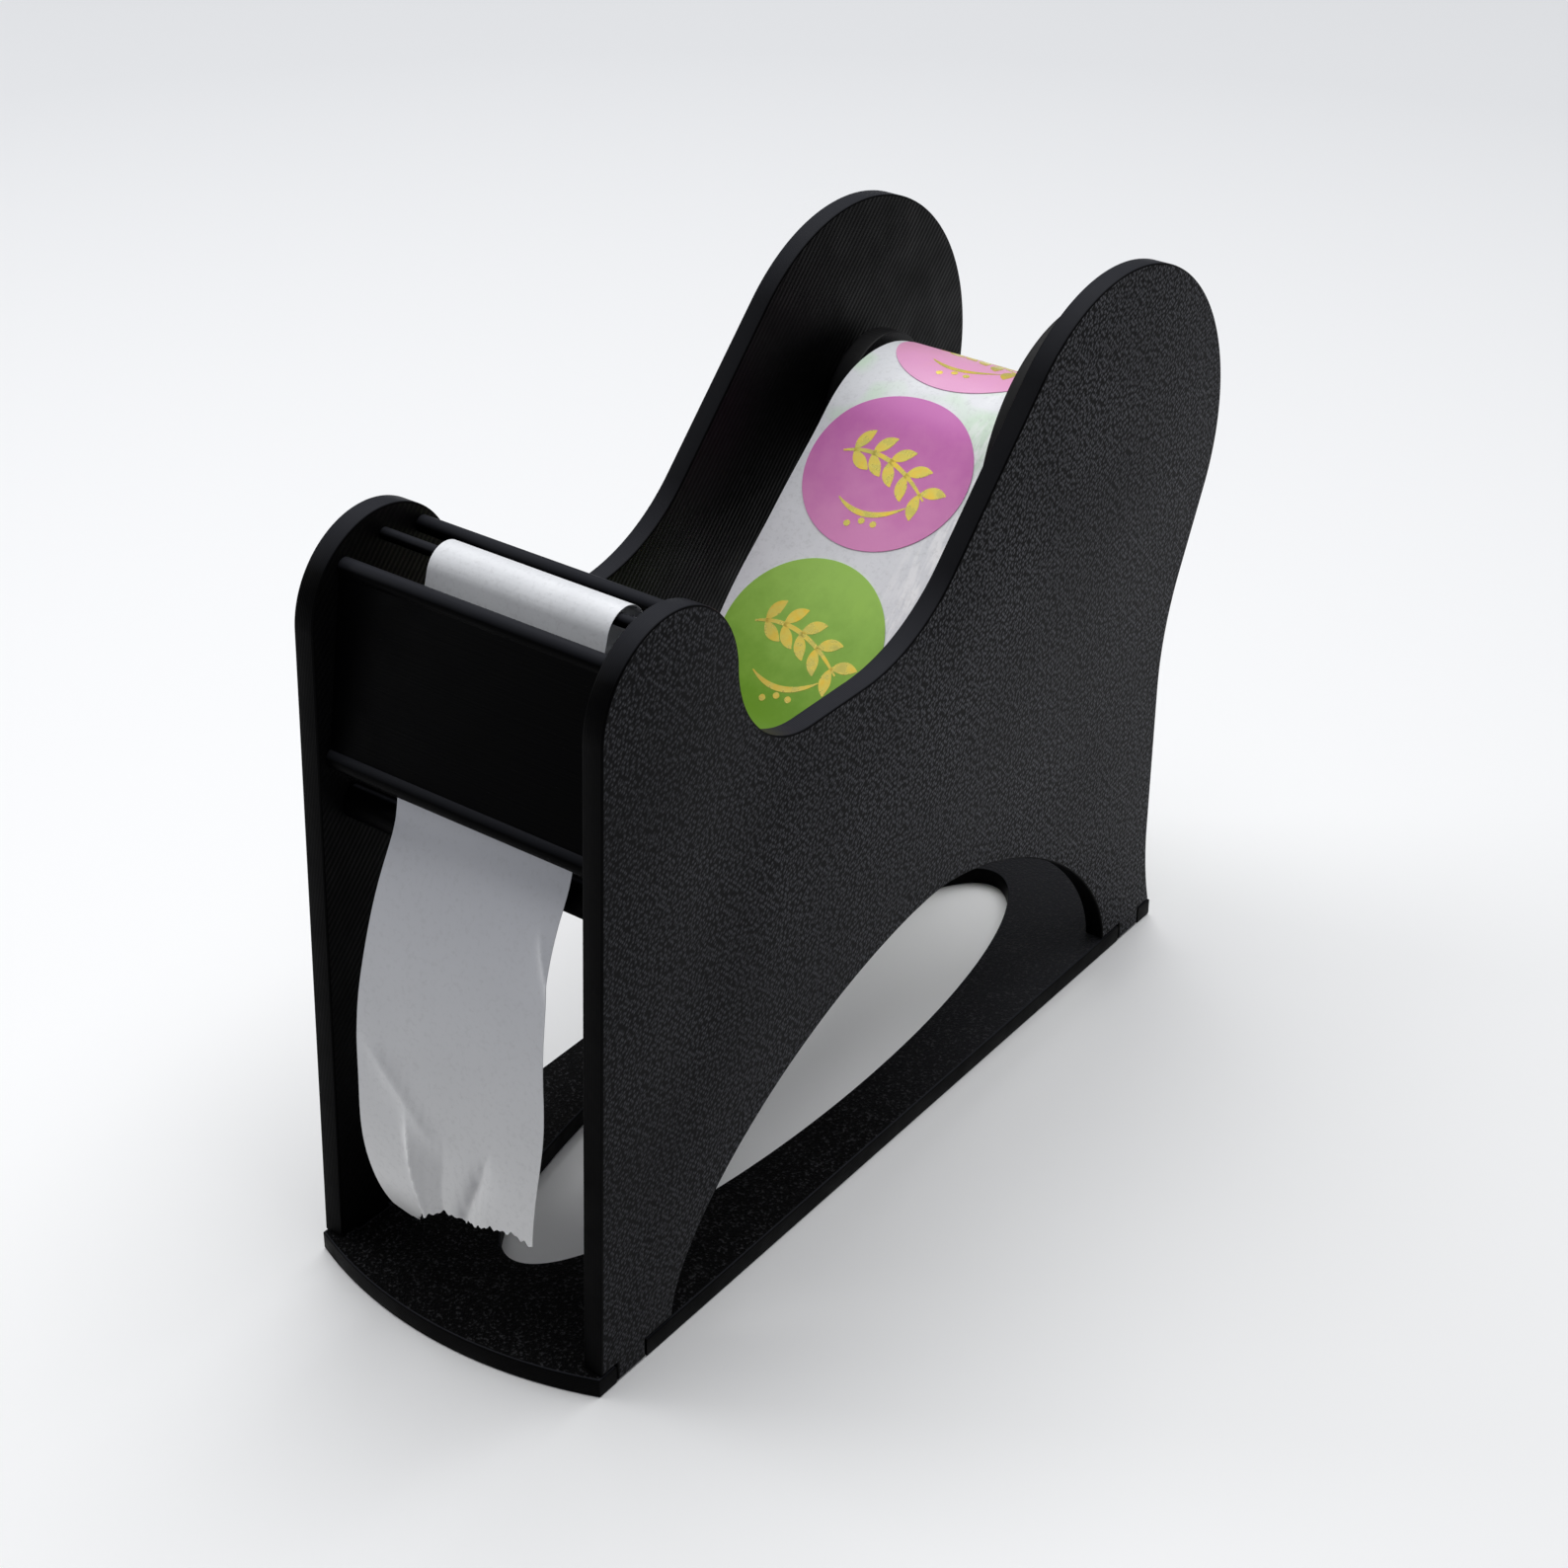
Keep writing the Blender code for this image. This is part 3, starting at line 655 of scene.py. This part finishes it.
def sprig():
    """Foil strokes: a bowed stem, pairs of leaves along it, a scroll below and three dots."""
    strokes = [stroke(STEM, STEM_WIDTH, 0.35), stroke(SCROLL, SCROLL_WIDTH, 0.6)]
    spots, ways = bezier(STEM, np.linspace(0.12, 0.94, LEAF_PAIRS))
    for spot, way in zip(spots, ways):
        for side in (-1, 1):
            lean = side * LEAF_LEAN
            turn = np.array([[math.cos(lean), -math.sin(lean)], [math.sin(lean), math.cos(lean)]])
            aim = turn @ way
            bow = np.array([-aim[1], aim[0]]) * side * LEAF_BOW
            tip = spot + LEAF_LENGTH * aim
            strokes.append(stroke([spot, (spot + tip) / 2 + bow, tip], LEAF_WIDTH, 0.8))
    for number in range(3):
        centre = np.array([-0.16 + 0.16 * number, 0.66 + 0.05 * math.cos(number * 2.1)])
        strokes.append(stroke([centre - DOT_REACH, centre, centre + DOT_REACH], DOT_WIDTH, 0.5))
    return strokes


def label_shapes(place, base_lift, lengthen):
    """A label's round sheet and the foil strokes that lie on it."""
    unit = disc_grid(LABEL_STEPS)
    disc = unit * LABEL_R * (LABEL_WIDEN, lengthen)
    faces = [place(disc[..., 0], disc[..., 1], lift) for lift in (base_lift + LABEL_PAPER, base_lift)]
    lift = base_lift + LABEL_PAPER + FOIL_LIFT
    foil = []
    for mark in sprig():
        across, along = np.moveaxis(mark * LABEL_R, -1, 0)
        foil.append(shell(place(across, along, lift + FOIL), place(across, along, lift)))
    flat = unit.reshape(-1, 2) / 2 + 0.5
    return shell(*faces), np.vstack([flat, flat]), join(foil)


def wound_strip():
    """The roll: one strip wound in a spiral, r = r0 + (r1 - r0) turn/turns, whose edges wander a little."""
    inner = CORE_BORE_R + CORE_WALL + ROLL_CORE_GAP
    turn = np.linspace(0, FULL_TURN * ROLL_LAPS, ROLL_LAPS * LAP_STEPS + 1)[:, None]
    radius = inner + (ROLL_OUTER_R - ROLL_STRIP - inner) * turn / turn[-1]
    wander = (0.10 * np.sin(0.37 * turn) + 0.07 * np.sin(1.13 * turn + 1.0)
              + 0.05 * np.sin(0.083 * turn + 2.0))
    across = np.array([[1.0, 0.98, 0.0, -0.98, -1.0]]) * LINER_WIDTH / 2 + wander
    return shell(about(ROLL, across, radius + ROLL_STRIP, turn), about(ROLL, across, radius, turn))


# Finishes

NOISE_SPAN = (0.3, 0.7)


class Finish:
    """A node material round one Principled shader, with patterns measured in millimetres."""

    def __init__(self, name, colour, roughness, specular=0.5, metallic=0.0):
        self.material = bpy.data.materials.new(name)
        self.material.use_nodes = True
        self.tree = self.material.node_tree
        self.shader = self.tree.nodes["Principled BSDF"]
        self.set("Base Color", (*colour, 1.0))
        self.set("Roughness", roughness)
        self.set("Specular IOR Level", specular)
        self.set("Metallic", metallic)
        spots = self.add("ShaderNodeTexCoord")
        self.uv = spots.outputs["UV"]
        self.spot = self.add("ShaderNodeVectorMath", {0: spots.outputs["Object"], "Scale": 1 / MM},
                             operation="SCALE").outputs[0]
        self.backward = self.parts(self.spot)[1]
        self.upward = self.parts(spots.outputs["Normal"])[2]
        self.normal = None

    def set(self, socket, value):
        """Sets a constant on the shader."""
        self.shader.inputs[socket].default_value = value

    def add(self, kind, inputs=None, **settings):
        """A node; an input given as a socket is linked, any other value is set."""
        node = self.tree.nodes.new(kind)
        for key, value in settings.items():
            setattr(node, key, value)
        for key, value in (inputs or {}).items():
            if isinstance(value, bpy.types.NodeSocket):
                self.tree.links.new(value, node.inputs[key])
            else:
                node.inputs[key].default_value = value
        return node

    def math(self, operation, first, second=0.0):
        """The outcome of an operation on two values."""
        return self.add("ShaderNodeMath", {0: first, 1: second}, operation=operation).outputs[0]

    def parts(self, vector):
        """The three parts of a vector."""
        return self.add("ShaderNodeSeparateXYZ", {0: vector}).outputs

    def run_along(self, way):
        """The dot product of the spot with way: millimetres along it if it is a unit vector."""
        node = self.add("ShaderNodeVectorMath", {0: self.spot, 1: way}, operation="DOT_PRODUCT")
        return node.outputs["Value"]

    def stretched(self, spot, stretch):
        """The spot divided by stretch, so that a pattern there is drawn out by it."""
        return self.add("ShaderNodeVectorMath", {0: spot, 1: stretch}, operation="DIVIDE").outputs[0]

    def noise(self, size, detail=2.0, roughness=0.5, stretch=(1.0, 1.0, 1.0)):
        """Cloudy noise from 0 to 1 whose features are about size across, drawn out by stretch."""
        spot = self.stretched(self.spot, stretch)
        node = self.add("ShaderNodeTexNoise", {"Vector": spot, "Scale": 1 / size, "Detail": detail,
                                               "Roughness": roughness})
        return node.outputs[0]

    def pebbles(self, size, stretch):
        """Bumps about size apart in slanting rows: 1 in the middle of each, 0 between them.

        The pattern lies on the YZ plane, in millimetres along its two slanting lines, drawn out by stretch.
        """
        rising, falling = self.run_along(RISING), self.run_along(FALLING)
        slanted = self.add("ShaderNodeCombineXYZ", {0: rising, 1: falling}).outputs[0]
        node = self.add("ShaderNodeTexVoronoi",
                        {"Vector": self.stretched(slanted, stretch), "Scale": 1 / size},
                        voronoi_dimensions="2D")
        return self.between(node.outputs["Distance"], 0.16, 0.52, 1.0, 0.0)

    def clouded(self, noise, low=0.0, high=1.0):
        """Noise carried from the span it mostly fills to the span low..high."""
        return self.between(noise, *NOISE_SPAN, low, high)

    def between(self, value, low, high, to_low=0.0, to_high=1.0):
        """value carried from the span low..high to the span to_low..to_high, held at its ends."""
        return self.add("ShaderNodeMapRange", {0: value, 1: low, 2: high, 3: to_low, 4: to_high}).outputs[0]

    def ridges(self, way, period):
        """Parallel print lines: sin(2 pi way.p / period), with way a unit vector."""
        return self.math("SINE", self.run_along(tuple(FULL_TURN / period * part for part in way)))

    def raise_by(self, height, depth):
        """Bump, with depth in millimetres for a height of one."""
        inputs = {"Height": height, "Distance": depth * MM, "Strength": 1.0}
        if self.normal is not None:
            inputs["Normal"] = self.normal
        self.normal = self.add("ShaderNodeBump", inputs).outputs[0]
        self.tree.links.new(self.normal, self.shader.inputs["Normal"])

    def blend(self, factor, first, second):
        """The colour first where factor is 0 and second where it is 1."""
        first, second = (c if isinstance(c, bpy.types.NodeSocket) else (*c, 1.0) for c in (first, second))
        node = self.add("ShaderNodeMix", {0: factor, 6: first, 7: second}, data_type="RGBA")
        return node.outputs[2]

    def painted_top_light(self, low):
        """Black print, painted lighter on faces that look up by more than low: painted top light."""
        return self.blend(self.between(self.upward, low, 1.0), DEEP_BLACK, PAINTED_TOP_LIGHT)

    def paint(self, socket):
        """Gives the shader its colour."""
        self.tree.links.new(socket, self.shader.inputs["Base Color"])

    def gloss(self, socket):
        """Gives the shader its roughness."""
        self.tree.links.new(socket, self.shader.inputs["Roughness"])

    def dust(self, spacing, radius, share):
        """A mask of sparse specks: points within radius of some of a scatter of centres."""
        node = self.add("ShaderNodeTexVoronoi", {"Vector": self.spot, "Scale": 1 / spacing})
        near = self.math("LESS_THAN", node.outputs["Distance"], radius / spacing)
        chosen = self.add("ShaderNodeSeparateColor", {0: node.outputs["Color"]}).outputs[0]
        return self.math("MULTIPLY", near, self.math("LESS_THAN", chosen, share))


BLACK = (0.0042, 0.0042, 0.0048)
DEEP_BLACK = (0.0012, 0.0012, 0.0014)
DUST = (0.10, 0.10, 0.10)
# Colour of the painted top light on faces that look up
PAINTED_TOP_LIGHT = (0.024, 0.025, 0.030)
RISING = (0.0, math.sqrt(0.5), math.sqrt(0.5))
FALLING = (0.0, math.sqrt(0.5), -math.sqrt(0.5))


def bed_face_finish():
    """The side that lay on a textured print bed: pebbled in slanting rows, more so toward the back, with
    painted glints on the tips that grow there as a painted sheen.
    """
    finish = Finish("print_bed_face", BLACK, 0.40, 0.05)
    pebbles = finish.pebbles(0.48, (1.6, 1.0, 1.0))
    rows = finish.between(finish.ridges(RISING, 0.62), -1.0, 1.0, 0.35, 1.0)
    patches = finish.between(finish.noise(26.0, 1.0), 0.35, 0.65, 0.75, 1.0)
    # The pebble tips fade toward the front: a painted sheen that grows toward the back.
    patches = finish.math("MULTIPLY", patches, finish.between(finish.backward, -70.0, 10.0, 0.46, 1.0))
    tips = finish.math("MULTIPLY", finish.math("MULTIPLY", pebbles, rows), patches)
    finish.raise_by(tips, 0.16)
    finish.gloss(finish.between(tips, 0.0, 1.0, 0.50, 0.32))
    # The lighter pebble tips are the bed's grain painted as glints: painted highlights.
    painted_light = finish.blend(tips, (0.0020, 0.0020, 0.0026), (0.100, 0.102, 0.117))
    finish.paint(finish.blend(finish.dust(5.0, 0.10, 0.06), painted_light, DUST))
    return finish.material


def top_face_finish():
    """The last layer of the print: wider slanting lines with a fine grain."""
    finish = Finish("print_top_face", DEEP_BLACK, 0.5, 0.08)
    finish.raise_by(finish.ridges(FALLING, 0.9), 0.020)
    finish.raise_by(finish.noise(0.35, 3.0), 0.030)
    finish.gloss(finish.clouded(finish.noise(6.0, 3.0), 0.44, 0.58))
    finish.paint(finish.blend(finish.dust(5.0, 0.09, 0.05), DEEP_BLACK, DUST))
    return finish.material


def disc_finish():
    """The guide discs: satin, with fine slanting lines."""
    finish = Finish("print_disc", BLACK, 0.5, 0.20)
    finish.raise_by(finish.ridges(FALLING, 0.6), 0.008)
    finish.raise_by(finish.noise(0.4, 3.0), 0.012)
    return finish.material


def base_face_finish():
    """The top of the base: rough grain with small painted glints on its tips, and painted light that makes
    it greyer toward the back.
    """
    finish = Finish("print_base_face", DEEP_BLACK, 0.55, 0.05)
    grain = finish.between(finish.noise(0.40, 2.0), 0.40, 0.68)
    finish.raise_by(grain, 0.14)
    finish.gloss(finish.clouded(finish.noise(5.0, 3.0), 0.48, 0.62))
    # Painted light: greyer toward the back, which is lit through the arch, darker at the front, which the
    # tail and panel shade.
    painted_light = finish.blend(finish.between(finish.backward, -10.0, 60.0), DEEP_BLACK, (0.020, 0.0205, 0.024))
    # Lighter grain tips: painted glints.
    tips = finish.blend(finish.between(grain, 0.6, 1.0), painted_light, (0.035, 0.035, 0.038))
    finish.paint(finish.blend(finish.dust(4.0, 0.10, 0.06), tips, DUST))
    return finish.material


def rim_finish(name, way):
    """The edge of a print: fine layer lines across the thickness, a satin skin, specks of dust and painted
    top light on faces that look up.
    """
    finish = Finish(name, DEEP_BLACK, 0.4, 0.025)
    finish.raise_by(finish.ridges(way, 0.28), 0.008)
    finish.raise_by(finish.noise(1.3, 3.0), 0.030)
    finish.gloss(finish.clouded(finish.noise(4.0, 3.0), 0.34, 0.50))
    # Faces that look up are painted lighter, as painted top light, under the dust specks.
    finish.paint(finish.blend(finish.dust(4.0, 0.08, 0.06), finish.painted_top_light(0.6), DUST))
    return finish.material


def satin_finish(name, top_lit_above):
    """Rods and front panel: lines of the print along their length under a satin skin, with painted top
    light on faces that look up by more than the given slope.
    """
    finish = Finish(name, DEEP_BLACK, 0.36, 0.014)
    finish.raise_by(finish.noise(0.30, 2.0, stretch=(60.0, 1.0, 1.0)), 0.035)
    finish.gloss(finish.clouded(finish.noise(5.0, 3.0), 0.30, 0.46))
    finish.paint(finish.blend(finish.dust(4.0, 0.09, 0.05), finish.painted_top_light(top_lit_above), DUST))
    return finish.material


LINER_WHITE = (0.82, 0.835, 0.87)
LINER_GREY = (0.74, 0.755, 0.79)
# The tail's top tone is painted shade under the panel; its bottom tone is the warmer paper.
TAIL_PAINTED_SHADE = (0.40, 0.41, 0.455)
TAIL_WARM = (0.68, 0.675, 0.665)
SHOWN_THROUGH = (0.66, 0.80, 0.67)
WOUND_GREY = (0.71, 0.725, 0.755)


def liner_finish():
    """Coated release paper: fibrous, with a painted sheen on its slope, greyer on the tail with painted
    shade at its top, painted light and shade on the flanks of its folds, and labels showing through.
    """
    finish = Finish("liner_paper", LINER_WHITE, 0.36, 0.5)
    across, along = finish.parts(finish.uv)[:2]
    marks = (LEAVES_ROLL, PEEL_START, PEEL_END, LINE.length)
    roll_end, peel_start, peel_end, end = (mark / SHEET_UV for mark in marks)
    clouds = finish.noise(7.0, 4.0, 0.6)
    paper = finish.blend(finish.clouded(clouds), LINER_WHITE, LINER_GREY)
    on_roll = finish.between(along, roll_end - 0.02, roll_end + 0.10, 1.0, 0.0)
    under = finish.math("MULTIPLY", on_roll, finish.between(finish.noise(8.0, 1.0), 0.42, 0.54))
    paper = finish.blend(under, paper, SHOWN_THROUGH)
    # Painted sheen: a lighter streak near one edge of the slope.
    sheen = finish.math("MULTIPLY", finish.between(across, 0.74, 0.98),
                        finish.between(finish.noise(0.9, 2.0, stretch=(1.0, 5.0, 5.0)), 0.44, 0.60))
    sloping = finish.between(along, peel_start - 0.2, peel_start, 1.0, 0.0)
    sheen = finish.math("MULTIPLY", sheen, sloping)
    paper = finish.blend(sheen, paper, (0.97, 0.975, 0.99))
    # The tail's top is painted darker under the panel: painted shade.
    hanging = finish.between(along, peel_end + 0.20, peel_end + 0.30, 0.0, 0.85)
    tail = finish.blend(finish.between(along, peel_end + 0.30, end), TAIL_PAINTED_SHADE, TAIL_WARM)
    paper = finish.blend(hanging, paper, tail)
    # Painted light and shade on the folds: the flank facing left is painted lighter, the flank facing right
    # darker, as if lit from the left.
    lean = finish.add("ShaderNodeAttribute", attribute_name="lean").outputs["Fac"]
    paper = finish.blend(finish.between(lean, 0.05, 1.0, 0.0, 0.75), paper, (0.92, 0.92, 0.92))
    paper = finish.blend(finish.between(lean, -0.05, -0.9, 0.0, 0.55), paper, (0.25, 0.25, 0.27))
    specks = finish.between(finish.noise(0.8, 2.0, 0.7), 0.52, 0.70, 0.0, 0.16)
    paper = finish.blend(specks, paper, (0.30, 0.30, 0.31))
    finish.paint(finish.blend(finish.dust(6.0, 0.17, 0.16), paper, (0.36, 0.36, 0.37)))
    finish.gloss(finish.clouded(clouds, 0.30, 0.44))
    finish.raise_by(finish.noise(0.5, 3.0, 0.6), 0.014)
    return finish.material


def roll_finish():
    """The wound liner: the same paper, seen mostly on its cut edges."""
    finish = Finish("wound_paper", LINER_WHITE, 0.5, 0.4)
    finish.paint(finish.blend(finish.clouded(finish.noise(1.2, 3.0)), LINER_WHITE, WOUND_GREY))
    finish.raise_by(finish.noise(0.4, 2.0), 0.010)
    return finish.material


def label_finish(name, upper, lower):
    """Coated label paper, from its upper to its lower tone as painted light and shade, mottled a little,
    with a soft gloss.
    """
    finish = Finish(name, upper, 0.34, 0.5)
    clouds = finish.noise(3.5, 4.0, 0.6)
    mottled = finish.math("ADD", finish.parts(finish.uv)[1], finish.clouded(clouds, -0.15, 0.15))
    tone = finish.blend(finish.between(mottled, 0.1, 0.9), upper, lower)
    finish.paint(finish.blend(finish.dust(5.0, 0.10, 0.08), tone, (0.55, 0.5, 0.5)))
    finish.gloss(finish.clouded(clouds, 0.28, 0.42))
    finish.raise_by(finish.noise(0.45, 3.0), 0.006)
    return finish.material


def foil_finish():
    """Hot-stamped gold: bright foil with a slight crinkle."""
    finish = Finish("gold_foil", (1.0, 0.82, 0.18), 0.28, 0.5, 0.6)
    crinkle = finish.noise(1.8, 2.0)
    finish.gloss(finish.clouded(crinkle, 0.22, 0.38))
    finish.paint(finish.blend(finish.between(crinkle, 0.35, 0.75), (1.0, 0.90, 0.22), (0.98, 0.68, 0.07)))
    finish.raise_by(crinkle, 0.012)
    return finish.material


def card_finish():
    """Brown card with a fibrous skin."""
    finish = Finish("core_card", (0.36, 0.28, 0.19), 0.85, 0.25)
    fibres = finish.noise(0.5, 4.0, 0.6, stretch=(1.0, 4.0, 4.0))
    finish.paint(finish.blend(finish.clouded(fibres), (0.40, 0.31, 0.21), (0.27, 0.20, 0.13)))
    finish.raise_by(fibres, 0.05)
    return finish.material


# Upper and lower tone of each label; the change between them is painted light and shade, and the purple's
# lighter lower half is a painted sheen.
LABEL_COLOURS = {
    "pink_label": ((0.88, 0.44, 0.60), (0.80, 0.36, 0.62)),
    "purple_label": ((0.60, 0.14, 0.47), (0.74, 0.27, 0.55)),
    "green_label": ((0.345, 0.60, 0.10), (0.155, 0.355, 0.016)),
}
FINISHES = {
    "bed": bed_face_finish(), "top": top_face_finish(), "base": base_face_finish(), "disc": disc_finish(),
    "plate_rim": rim_finish("print_rim_across", (1.0, 0.0, 0.0)),
    "base_rim": rim_finish("print_rim_upright", (0.0, 0.0, 1.0)),
    # The second satin copy has almost no painted top light: it is the painted shade for the rod under the
    # panel.
    "satin": satin_finish("print_satin", 0.3), "satin_painted_shade": satin_finish("print_satin_painted_shade", 0.98),
    "liner": liner_finish(), "roll": roll_finish(), "foil": foil_finish(), "card": card_finish(),
    **{slot: label_finish(slot, *colours) for slot, colours in LABEL_COLOURS.items()},
}


# Pieces


def make_stand():
    """Base, two side plates, front panel and the three rods."""
    plate = np.vstack([foot_curve(), back_curve(), top_curve()])
    finishes = [FINISHES["plate_rim"], FINISHES["bed"], FINISHES["top"]]
    capped = [False, True, True]
    for name, low, high, sides in (("side_plate_left", -HALF_WIDTH, -INNER_HALF, [0, 1, 2]),
                                   ("side_plate_right", INNER_HALF, HALF_WIDTH, [0, 2, 1])):
        points, faces = slab([plate], low, high, EDGE_R, "X")
        add_piece(name + "_print", points, faces, finishes, "stand", [name], sides, capped)
    points, faces = slab(base_loops(), 0.0, BASE_THICK, EDGE_R, "Z")
    add_piece("base_print", points, faces, [FINISHES["base_rim"], FINISHES["base"]], "stand",
              ["base_plate"], [0, 1, 1], capped)
    reach = INNER_HALF - SEAM
    sections = {"front_panel": anticlockwise(panel_loop()),
                **{name: circle(centre, radius, ROD_SIDES) for name, (centre, radius) in RODS.items()}}
    for name, loop in sections.items():
        points, faces = slab([loop], -reach, reach, ROD_EDGE_R, "X")
        # The tail guide rod under the panel takes the satin copy with painted shade instead of painted top
        # light.
        finish = FINISHES["satin_painted_shade" if name == "tail_guide_rod" else "satin"]
        add_piece(name + "_print", points, faces, [finish], "stand", [name], flat=capped)


def make_axle():
    """The axle and the guide disc to each side of the roll."""
    reach = INNER_HALF - SEAM
    points, faces = slab([circle(LOBE, AXLE_R, ROUND_SIDES // 2)], -reach, reach, AXLE_EDGE_R, "X")
    add_piece("roll_axle_print", points, faces, [FINISHES["satin"]], "axle", ["roll_axle"],
              flat=[False, True, True])
    outer = INNER_HALF - DISC_SIDE_GAP
    inner = LINER_WIDTH / 2 + ROLL_SIDE_GAP
    bore = AXLE_R + SEAM
    for name, side, radius in (("guide_disc_left", -1, LEFT_DISC_R), ("guide_disc_right", 1, RIGHT_DISC_R)):
        profile = rounded([(inner, bore), (outer, bore), (outer, DISC_BACK_SHARE * radius),
                           (inner + DISC_RIM, radius), (inner, radius)], EDGE_R)
        profile = profile if side > 0 else (profile * (-1, 1))[::-1]
        points, faces = turned(profile, LOBE, ROUND_SIDES)
        add_piece(name + "_print", points, faces, [FINISHES["disc"]], "axle", [name])


def make_roll():
    """The card core, the wound liner and the labels on its outer lap."""
    half = LINER_WIDTH / 2
    profile = rounded([(-half, CORE_BORE_R), (half, CORE_BORE_R), (half, CORE_BORE_R + CORE_WALL),
                       (-half, CORE_BORE_R + CORE_WALL)], CORE_EDGE_R)
    points, faces = turned(profile, ROLL, ROUND_SIDES)
    add_piece("roll_core_card", points, faces, [FINISHES["card"]], "roll", ["roll_core"])
    points, faces = wound_strip()
    add_piece("label_roll_strip", points, faces, [FINISHES["roll"]], "roll", ["label_roll"],
              flat=[False, False, True])
    for number, slot in enumerate(("green_label", "purple_label"), 1):
        middle = -LABEL_PITCH * (number - 0.25) / ROLL_OUTER_R
        make_label("roll_label_%d" % number, on_roll(middle), LABEL_GAP, slot, "roll")


def make_label(name, place, base_lift, slot, body, lengthen=1.0):
    """One round label and the foil on it."""
    (points, faces), uv, (foil_points, foil_faces) = label_shapes(place, base_lift, lengthen)
    label = add_piece(name + "_paper", points, faces, [FINISHES[slot]], body, [name],
                      flat=[False, False, True], uv=uv)
    foil = add_piece(name + "_foil", foil_points, foil_faces, [FINISHES["foil"]], body, [])
    return [label, foil]


def make_liner():
    """The liner from the roll to its torn end, and the labels still on it."""
    middle, uv, lean = liner_grid()
    points, faces = shell(*thicken(middle, PAPER))
    flat_uv = uv.reshape(-1, 2)
    liner = add_piece("liner_sheet", points, faces, [FINISHES["liner"]], "stand", ["liner_web"],
                      flat=[False, False, True], uv=np.vstack([flat_uv, flat_uv]))
    liner.data.attributes.new("lean", "FLOAT", "POINT").data.foreach_set("value", np.tile(lean.ravel(), 2))
    riders = []
    slots = ("pink_label", "purple_label", "green_label", "pink_label", "purple_label")
    for number, slot in enumerate(slots):
        spot = LEAVES_ROLL + LABEL_PAST_ROLL + (number - 1) * LABEL_PITCH + LABEL_SHIFTS[number]
        riders += make_label("label_%d" % (number + 1), on_web(spot), PAPER / 2 + LABEL_GAP, slot, "stand",
                             LABEL_LENGTHEN[number])


# Floor, light and camera


CAMERA_SPOT = (0.2177, -0.2973, 0.2752)
CAMERA_AZIMUTH = math.radians(37.0747)
CAMERA_ELEVATION = math.radians(29.4131)
CAMERA_ROLL = math.radians(-0.1138)
CAMERA_LENS = 68.39
CAMERA_SHIFT = (0.02635, -0.0693)
FLOOR_HALF = 2.5
# The floor's painted fall-off of light: its centre, the span of the fade, and the near and far tones.
FLOOR_MIDDLE = (20.0, -60.0, 0.0)
FLOOR_FADE = (100.0, 560.0)
FLOOR_NEAR = (0.95, 0.955, 0.965)
FLOOR_FAR = (0.727, 0.737, 0.757)
LAMP_AIM = (0.0, 0.0, 0.05)
ROOM_COLOUR = (0.95, 0.97, 1.0, 1.0)
ROOM_STRENGTH = 0.19


def make_floor():
    """A wide pale table top with a painted fall-off of light: a little darker away from the stand."""
    mesh = bpy.data.meshes.new("floor")
    corners = FLOOR_HALF * np.array([(-1, -1), (1, -1), (1, 1), (-1, 1)])
    mesh.from_pydata(np.column_stack([corners, np.zeros(4)]).tolist(), [], [[0, 1, 2, 3]])
    floor = bpy.data.objects.new("floor", mesh)
    bpy.context.collection.objects.link(floor)
    finish = Finish("pale_table", FLOOR_NEAR, 0.7, 0.2)
    reach = finish.add("ShaderNodeVectorMath", {0: finish.spot, 1: FLOOR_MIDDLE},
                       operation="DISTANCE").outputs["Value"]
    finish.paint(finish.blend(finish.between(reach, *FLOOR_FADE), FLOOR_NEAR, FLOOR_FAR))
    mesh.materials.append(finish.material)


def add_lamp(name, spot, size, power):
    """A square soft light at spot, turned to the foot of the stand."""
    lamp = bpy.data.lights.new(name, "AREA")
    lamp.shape = "SQUARE"
    lamp.size = size
    lamp.energy = power
    holder = bpy.data.objects.new(name, lamp)
    aim = Vector(LAMP_AIM) - Vector(spot)
    holder.matrix_world = Matrix.Translation(spot) @ aim.to_track_quat("-Z", "Y").to_matrix().to_4x4()
    bpy.context.collection.objects.link(holder)


def make_light():
    """A large soft lamp overhead, a small one from the left, and an even pale room."""
    add_lamp("overhead", (-0.08, 0.30, 1.25), 1.6, 19.3)
    add_lamp("side", (-0.9, -0.35, 0.55), 0.5, 2.6)
    world = bpy.data.worlds.new("soft_room")
    world.use_nodes = True
    room = world.node_tree.nodes["Background"]
    room.inputs["Color"].default_value = ROOM_COLOUR
    room.inputs["Strength"].default_value = ROOM_STRENGTH
    bpy.context.scene.world = world


def make_camera():
    """The photograph's view: the axes from azimuth, elevation and a slight roll."""
    sin_a, cos_a = math.sin(CAMERA_AZIMUTH), math.cos(CAMERA_AZIMUTH)
    sin_e, cos_e = math.sin(CAMERA_ELEVATION), math.cos(CAMERA_ELEVATION)
    back = np.array([sin_a * cos_e, -cos_a * cos_e, sin_e])
    right = np.array([cos_a, sin_a, 0.0])
    up = np.cross(back, right)
    sin_r, cos_r = math.sin(CAMERA_ROLL), math.cos(CAMERA_ROLL)
    axes = np.column_stack([cos_r * right + sin_r * up, cos_r * up - sin_r * right, back])
    lens = bpy.data.cameras.new("photo_view")
    lens.sensor_fit = "HORIZONTAL"
    lens.sensor_width = 36.0
    lens.lens = CAMERA_LENS
    lens.shift_x, lens.shift_y = CAMERA_SHIFT
    lens.clip_start = 0.01
    camera = bpy.data.objects.new("photo_view", lens)
    camera.matrix_world = Matrix.Translation(CAMERA_SPOT) @ Matrix(axes.tolist()).to_4x4()
    bpy.context.collection.objects.link(camera)
    bpy.context.scene.camera = camera


make_stand()
make_axle()
make_roll()
make_liner()
make_floor()
make_light()
make_camera()
bpy.context.scene.view_settings.view_transform = "Standard"
bpy.context.view_layer.update()
